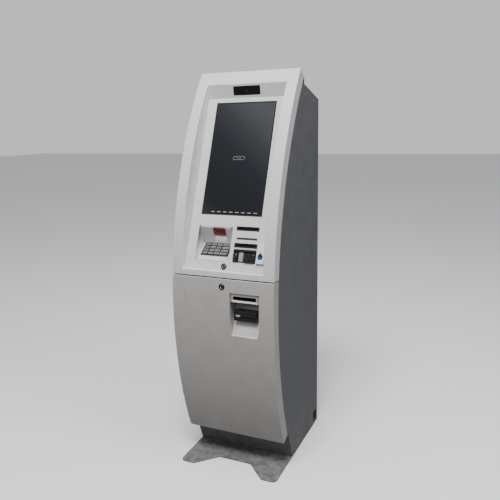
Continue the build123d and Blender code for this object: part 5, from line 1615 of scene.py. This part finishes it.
# ---------------------------------------------------------------- cabinet
@dataclass
class Cabinet:
    """Side panels, whose front edges follow the plinth's slant, foot plate and screws."""

    bow: Bow
    half: float
    finishes: Finishes
    gauge: float = 0.002
    edge: float = 0.052
    rear: float = 0.2845
    plate: float = 0.005
    plinth_foot: tuple[float, float] = (-0.0795, 0.005)
    plinth_head: tuple[float, float] = (-0.1305, 0.1435)
    edge_top: float = 1.6096
    roof_front: tuple[float, float] = (0.0795, 1.606)
    roof_fall: float = 0.2788
    turned: float = 0.020
    strip: float = 0.200
    flat: float = 0.300
    notch: tuple[float, float, float, float] = (0.0225, 0.012, 0.0745, 0.066)
    foot_tip: float = -0.2845
    foot_notch: float = -0.1985
    foot_tip_x: float = 0.160
    foot_notch_x: float = 0.074

    def roof(self, y: Array | float) -> Array | float:
        """Height of a side panel's top edge."""
        return self.roof_front[1] - self.roof_fall * (y - self.roof_front[0])

    def side_panel(self, sign: int) -> None:
        """Side panel: a flat side ruled from its bowed front edge to its rear edge, with turned-in edges.

        Args:
            sign: -1 for the left panel and 1 for the right.
        """
        draft = Draft()
        x = sign * self.half
        top = self.roof(self.rear)
        reach = self.rear - self.strip

        def level(y: Array, w: Array) -> Array:
            """Height at depth y of the line w: level low down, then spread up to the sloping top edge."""
            spread = (self.roof(y) - self.flat) / (top - self.flat)
            return np.where(w < self.flat, w, self.flat + (w - self.flat) * spread)

        def front(w: Array) -> tuple[Array, Array]:
            """Depth and height of the front edge: the plinth's slant, then the bow."""
            foot, head = np.array(self.plinth_foot), np.array(self.plinth_head)
            slant = np.clip((w - foot[1]) / (head[1] - foot[1]), 0, 1)
            z = head[1] + np.maximum(w - head[1], 0) * (self.edge_top - head[1]) / (top - head[1])
            inset = self.bow.radius - self.edge
            y = self.bow.front + self.bow.radius - np.sqrt(inset**2 - (z - self.bow.level) ** 2)
            low = w <= head[1]
            return (np.where(low, foot[0] + slant * (head[0] - foot[0]), y),
                    np.where(low, foot[1] + slant * (head[1] - foot[1]), z))

        def flank(u: Array, w: Array) -> Array:
            """Point of the side: u from -1 at the front edge to 0, then metres towards the rear."""
            y_front, z_front = front(w)
            blend = np.clip(-u, 0, 1)
            y_back = self.strip + np.maximum(u, 0)
            y = y_front * blend + y_back * (1 - blend)
            z = z_front * blend + level(y_back, w) * (1 - blend)
            return np.stack([np.full_like(y, x), y, z], axis=-1)

        notch = [Window(self.notch, 0.006)] if sign > 0 else []
        _, w = sheet(draft, flank, (-1.0, reach), (self.plate, top), notch, (0.3, 0.018),
                     ((0.0,), (self.plinth_head[1], self.flat)))
        y_front, z_front = front(w[w >= self.plinth_head[1] - 1e-6])
        edge = x - sign * self.turned * np.array([0.0, 0.5, 1.0])
        curve = np.stack([y_front, z_front], axis=1)
        draft.grid(np.concatenate([
            np.broadcast_to(edge[None, :, None], (len(curve), 3, 1)),
            np.broadcast_to(curve[:, None], (len(curve), 3, 2)),
        ], axis=2))
        name = "left" if sign < 0 else "right"
        piece = draft.finish(name + "_side", facing=(sign, 0, 0))
        soften(piece, bend=0.0016, gauge=self.gauge, rim=0.0004)
        fit(piece, "cabinet", self.finishes[Look.CABINET], Look.CABINET, name + "_side_panel")
        x_low, x_high = sorted((x - sign * self.gauge, x - sign * self.turned))
        upright = Axes((0.0, 0.0, 0.0), (1.0, 0.0, 0.0), (0.0, 1.0, 0.0))
        fold = rounded_box((x_low, self.rear - 0.006, x_high, self.rear - 0.004), 0.0004, 2)
        piece = Draft().loft(upright.place(prism(fold, self.plate, top - 0.003))).finish(name + "_return")
        fit(soften(piece), "cabinet", self.finishes[Look.CABINET], Look.CABINET)

    def foot_plate(self) -> None:
        """Foot plate: two rounded feet either side of a notch, with a ground edge."""
        h = self.half
        corners = np.array([
            (h, self.rear), (-h, self.rear), (-h, self.foot_tip), (-self.foot_tip_x, self.foot_tip),
            (-self.foot_notch_x, self.foot_notch), (self.foot_notch_x, self.foot_notch),
            (self.foot_tip_x, self.foot_tip), (h, self.foot_tip),
        ])
        radii = np.array([0.001, 0.001, 0.022, 0.014, 0.020, 0.020, 0.014, 0.022])
        floor = Axes((0.0, 0.0, 0.0), (1.0, 0.0, 0.0), (0.0, 1.0, 0.0))
        outline = rounded_outline(corners, radii, 8)
        piece = Draft().loft(floor.place(prism(outline, 0.0, self.plate))).finish("base_plate")
        fit(soften(piece, rim=0.0009), "cabinet", self.finishes[Look.BASE], Look.BASE, "foot_plate")

    def screws(self) -> None:
        """Domed screws with a round socket, on the sides and the rear."""
        spots = ((0.1015, 1.563), (0.2115, 1.538), (0.2655, 1.180), (0.2655, 0.700), (0.2655, 0.220),
                 (-0.0525, 0.060))
        draft = Draft()
        profile = [(0.0025, -0.006), (0.0025, 0.0), (0.0045, 0.0), (0.0045, 0.0004), (0.0040, 0.0011),
                   (0.0028, 0.0015), (0.0018, 0.0016), (0.0016, 0.0006)]
        rings = lathe(profile, 24)
        for sign in (-1, 1):
            for y, z in spots:
                face = Axes((sign * self.half, y, z), (0.0, float(sign), 0.0), (0.0, 0.0, 1.0))
                draft.loft(face.place(rings))
        rear_face = self.rear - 0.002
        for x in (-0.212, 0.0, 0.212):
            for z in (0.026, 0.950, 1.524):
                face = Axes((x, rear_face, z), (-1.0, 0.0, 0.0), (0.0, 0.0, 1.0))
                draft.loft(face.place(rings))
        piece = draft.finish("panel_screws")
        fit(soften(piece), "cabinet", self.finishes[Look.SCREW], Look.SCREW, "cover_screws")

    def build(self) -> None:
        """Makes the cabinet's pieces."""
        self.side_panel(-1)
        self.side_panel(1)
        self.foot_plate()
        self.screws()


@dataclass
class DoorHinges:
    """Lift-off hinges outside the left side: a lower leaf on the cabinet, an upper knuckle on the door."""

    half: float
    finishes: Finishes
    knuckle: float = 0.0055
    pin: float = 0.003
    leaf: float = 0.0025
    spans: tuple = ((0.270, 0.330, 0.137, 0.048), (0.730, 0.790, 0.112, 0.014))

    def build(self) -> None:
        """Makes the leaves and the knuckles."""
        x, y, _ = frame_joint("door_hinge")["pos_m"]
        front = y - 0.075
        leaves, knuckles = Draft(), Draft()
        gap = 0.0003
        for low, high, rear_end, front_end in self.spans:
            middle = (low + high) / 2
            axis = Axes((x, y, 0.0), (1.0, 0.0, 0.0), (0.0, 1.0, 0.0))
            r, p, c = self.knuckle, self.pin, 0.0006
            leaves.loft(axis.place(lathe([(r - c, low), (r, low + c), (r, middle - gap - c),
                                          (r - c, middle - gap)], 32)))
            leaves.loft(axis.place(lathe([(p, middle - 0.001), (p, high - 0.005), (p - 0.001, high - 0.004)],
                                         24)))
            knuckles.tube(axis.place(lathe([(p + 0.00005, middle + gap), (r - c, middle + gap),
                                            (r, middle + gap + c),
                                            (r, high - c), (r - c, high), (p + 0.00005, high)], 32)))
            side = Axes((-self.half, 0.0, 0.0), (0.0, 1.0, 0.0), (0.0, 0.0, 1.0))
            box = (y, low, front + rear_end, middle - gap)
            leaves.loft(side.place(prism(rounded_box(box, 0.0015, 4), -self.leaf, 0.0)))
            box = (front + front_end, middle + gap, y, high)
            knuckles.loft(side.place(prism(rounded_box(box, 0.0015, 4), -self.leaf, 0.0)))
        piece = soften(leaves.finish("hinge_leaves"), rim=0.0003)
        fit(piece, "cabinet", self.finishes[Look.CABINET], Look.ZINC, "door_hinge_leaves")
        piece = soften(knuckles.finish("hinge_knuckles"), rim=0.0002)
        fit(piece, "door", self.finishes[Look.DOOR], Look.ZINC, "door_hinge_knuckles")


@dataclass
class PaperRoll:
    """Receipt roll: a coil of thin turns round a core."""

    finishes: Finishes
    radius: float = 0.027
    core: float = 0.00805
    length: float = 0.080
    turns: int = 26

    def build(self) -> None:
        """Makes the roll; its ends step up and down by a hair from turn to turn."""
        centre = frame_joint("paper_roll_spin")["pos_m"]
        axes = Axes(tuple(centre), (0.0, 1.0, 0.0), (0.0, 0.0, 1.0))
        radii = np.linspace(self.core, self.radius, self.turns)
        wobble = 0.0003 * np.sin(np.arange(self.turns) * 2.3)
        half = self.length / 2 - 0.0004
        out = [(r, half + w) for r, w in zip(radii, wobble)]
        back = [(r, -half + w) for r, w in zip(radii[::-1], wobble)]
        piece = Draft().tube(axes.place(lathe(out + back, 64))).finish("receipt_roll")
        fit(soften(piece), "paper_roll", self.finishes[Look.PAPER], Look.PAPER, "paper_roll")


# ---------------------------------------------------------------- studio
@dataclass(frozen=True)
class Studio:
    """Pale floor, soft lamps and the camera."""

    eye: tuple[float, float, float] = (1.0007, -2.2278, 1.4436)
    yaw: float = 0.4203
    pitch: float = 0.2154
    roll: float = -0.0209
    lens: float = 41.14
    floor_reach: float = 25.0

    def floor(self) -> None:
        """Wide flat pale floor; it bounces little light back on the kiosk."""
        span = np.linspace(-self.floor_reach, self.floor_reach, 3)
        x, y = np.meshgrid(span, span, indexing="ij")
        points = np.stack([x, y, np.zeros_like(x)], axis=-1)
        made, bench, shader = start_material("studio_floor")
        shader.inputs["Base Color"].default_value = (0.93, 0.93, 0.93, 1.0)
        shader.inputs["Roughness"].default_value = 0.9
        shader.inputs["Specular IOR Level"].default_value = 0.1
        dim = bench.add("BsdfDiffuse", {"Color": (0.13, 0.13, 0.135, 1.0)})
        path = bench.add("LightPath")
        blend = bench.add("MixShader",
                          {0: path.outputs["Is Camera Ray"], 1: dim.outputs[0], 2: shader.outputs[0]})
        out = bench.tree.nodes["Material Output"]
        bench.tree.links.new(blend.outputs[0], out.inputs["Surface"])
        piece = Draft().grid(points).finish("studio_floor", facing=(0, 0, 1))
        piece.data.materials.append(made)

    def world(self) -> None:
        """Pale surroundings: white to the eye, brighter overhead than at the horizon for the kiosk."""
        world = bpy.data.worlds.new("studio_world")
        bpy.context.scene.world = world
        world.use_nodes = True
        bench = Bench(world.node_tree)
        nodes = world.node_tree.nodes
        background = nodes["Background"]
        up = bench.add("SeparateXYZ", {0: bench.add("TexCoord").outputs["Generated"]}).outputs[2]
        ramp = bench.add("ValToRGB", {0: bench.span(up, -0.35, 0.95)})
        ramp.color_ramp.elements[0].color = (0.02, 0.02, 0.022, 1.0)
        ramp.color_ramp.elements[1].color = (0.85, 0.86, 0.88, 1.0)
        middle = ramp.color_ramp.elements.new(0.35)
        middle.color = (0.16, 0.162, 0.168, 1.0)
        path = bench.add("LightPath")
        colour = bench.mix(path.outputs["Is Camera Ray"], ramp.outputs[0], (0.95, 0.95, 0.95, 1.0))
        bench.tree.links.new(colour, background.inputs["Color"])
        background.inputs["Strength"].default_value = 0.75

    @staticmethod
    def lamp(name: str, at: tuple[float, float, float], aim: tuple[float, float, float],
             size: tuple[float, float], power: float, colour: Colour = (1.0, 1.0, 1.0)) -> None:
        """A soft rectangular lamp.

        Args:
            name: its name.
            at: where it hangs.
            aim: the point it looks at.
            size: its width and height.
            power: watts.
            colour: its tint.
        """
        data = bpy.data.lights.new(name, "AREA")
        data.shape, data.size, data.size_y = "RECTANGLE", *size
        data.energy, data.color = power, colour
        lamp = bpy.data.objects.new(name, data)
        lamp.location = at
        lamp.rotation_euler = (Vector(aim) - Vector(at)).to_track_quat("-Z", "Y").to_euler()
        bpy.context.scene.collection.objects.link(lamp)

    def camera(self) -> None:
        """The camera, turned by yaw, pitch and roll."""
        ahead = Vector((-sin(self.yaw) * cos(self.pitch), cos(self.yaw) * cos(self.pitch), -sin(self.pitch)))
        right = Vector((cos(self.yaw), sin(self.yaw), 0.0))
        up = right.cross(ahead)
        side = cos(self.roll) * right + sin(self.roll) * up
        top = -sin(self.roll) * right + cos(self.roll) * up
        data = bpy.data.cameras.new("eye")
        data.lens, data.sensor_width = self.lens, 36.0
        eye = bpy.data.objects.new("eye", data)
        turn = Matrix((side, top, -ahead)).transposed().to_4x4()
        eye.matrix_world = Matrix.Translation(self.eye) @ turn
        bpy.context.scene.collection.objects.link(eye)
        bpy.context.scene.camera = eye

    def build(self) -> None:
        """Sets up the studio."""
        self.camera()
        self.floor()
        self.world()
        self.lamp("overhead", (0.3, -2.2, 5.0), (0.0, 0.0, 1.0), (1.8, 1.4), 250.0)
        self.lamp("right_bank", (2.6, -0.6, 2.8), (0.1, 0.0, 1.0), (1.2, 1.8), 40.0)
        self.lamp("left_fill", (-2.4, -2.4, 2.0), (0.0, 0.0, 1.2), (1.4, 1.8), 8.0)


def main() -> None:
    """Builds the studio and then every sub-assembly in order."""
    logging.basicConfig(level=logging.INFO, format="%(name)s: %(message)s")
    Studio().build()
    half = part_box("hood_frame")[1].x
    bow = Bow(front=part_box("door_shell")[0].y)
    lean = radians(21.68)
    glass_low, glass_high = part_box("display_glass")
    middle = (glass_low + glass_high) / 2
    out = 0.0024
    fascia_axes = leaning((0.0, middle.y - out * cos(lean), middle.z + out * sin(lean)),
                          (sin(lean), cos(lean)))
    finishes = Finishes(fascia_axes, half_width=0.1357, half_height=0.2417)
    redress(finishes)
    fascia = Fascia(fascia_axes, finishes)
    Hood(bow, fascia_axes, half, finishes).build()
    fascia.build()
    KeypadBay(fascia, finishes).build()
    hood_lock_up = -0.4505
    door_lock_x, door_lock_z, door_lock_lift = 0.002, 0.818, 0.0001
    CamLock("hood_lock", fascia_axes.moved(y=hood_lock_up), "hood", "upper_lock_core",
            ("upper_lock_barrel", "upper_lock_core"), cam_depth=0.058, cam_reach=0.018,
            finishes=finishes).build()
    CamLock("door_lock", bow.axes(door_lock_x, door_lock_z).moved(z=door_lock_lift), "door",
            "lower_lock_core",
            ("lower_lock_barrel", "lower_lock_core"), cam_depth=0.070, cam_reach=0.034,
            finishes=finishes).build()
    Door(bow, half, finishes).build()
    Cabinet(bow, half, finishes).build()
    DoorHinges(half, finishes).build()
    PaperRoll(finishes).build()


if __name__ == "__main__":
    main()
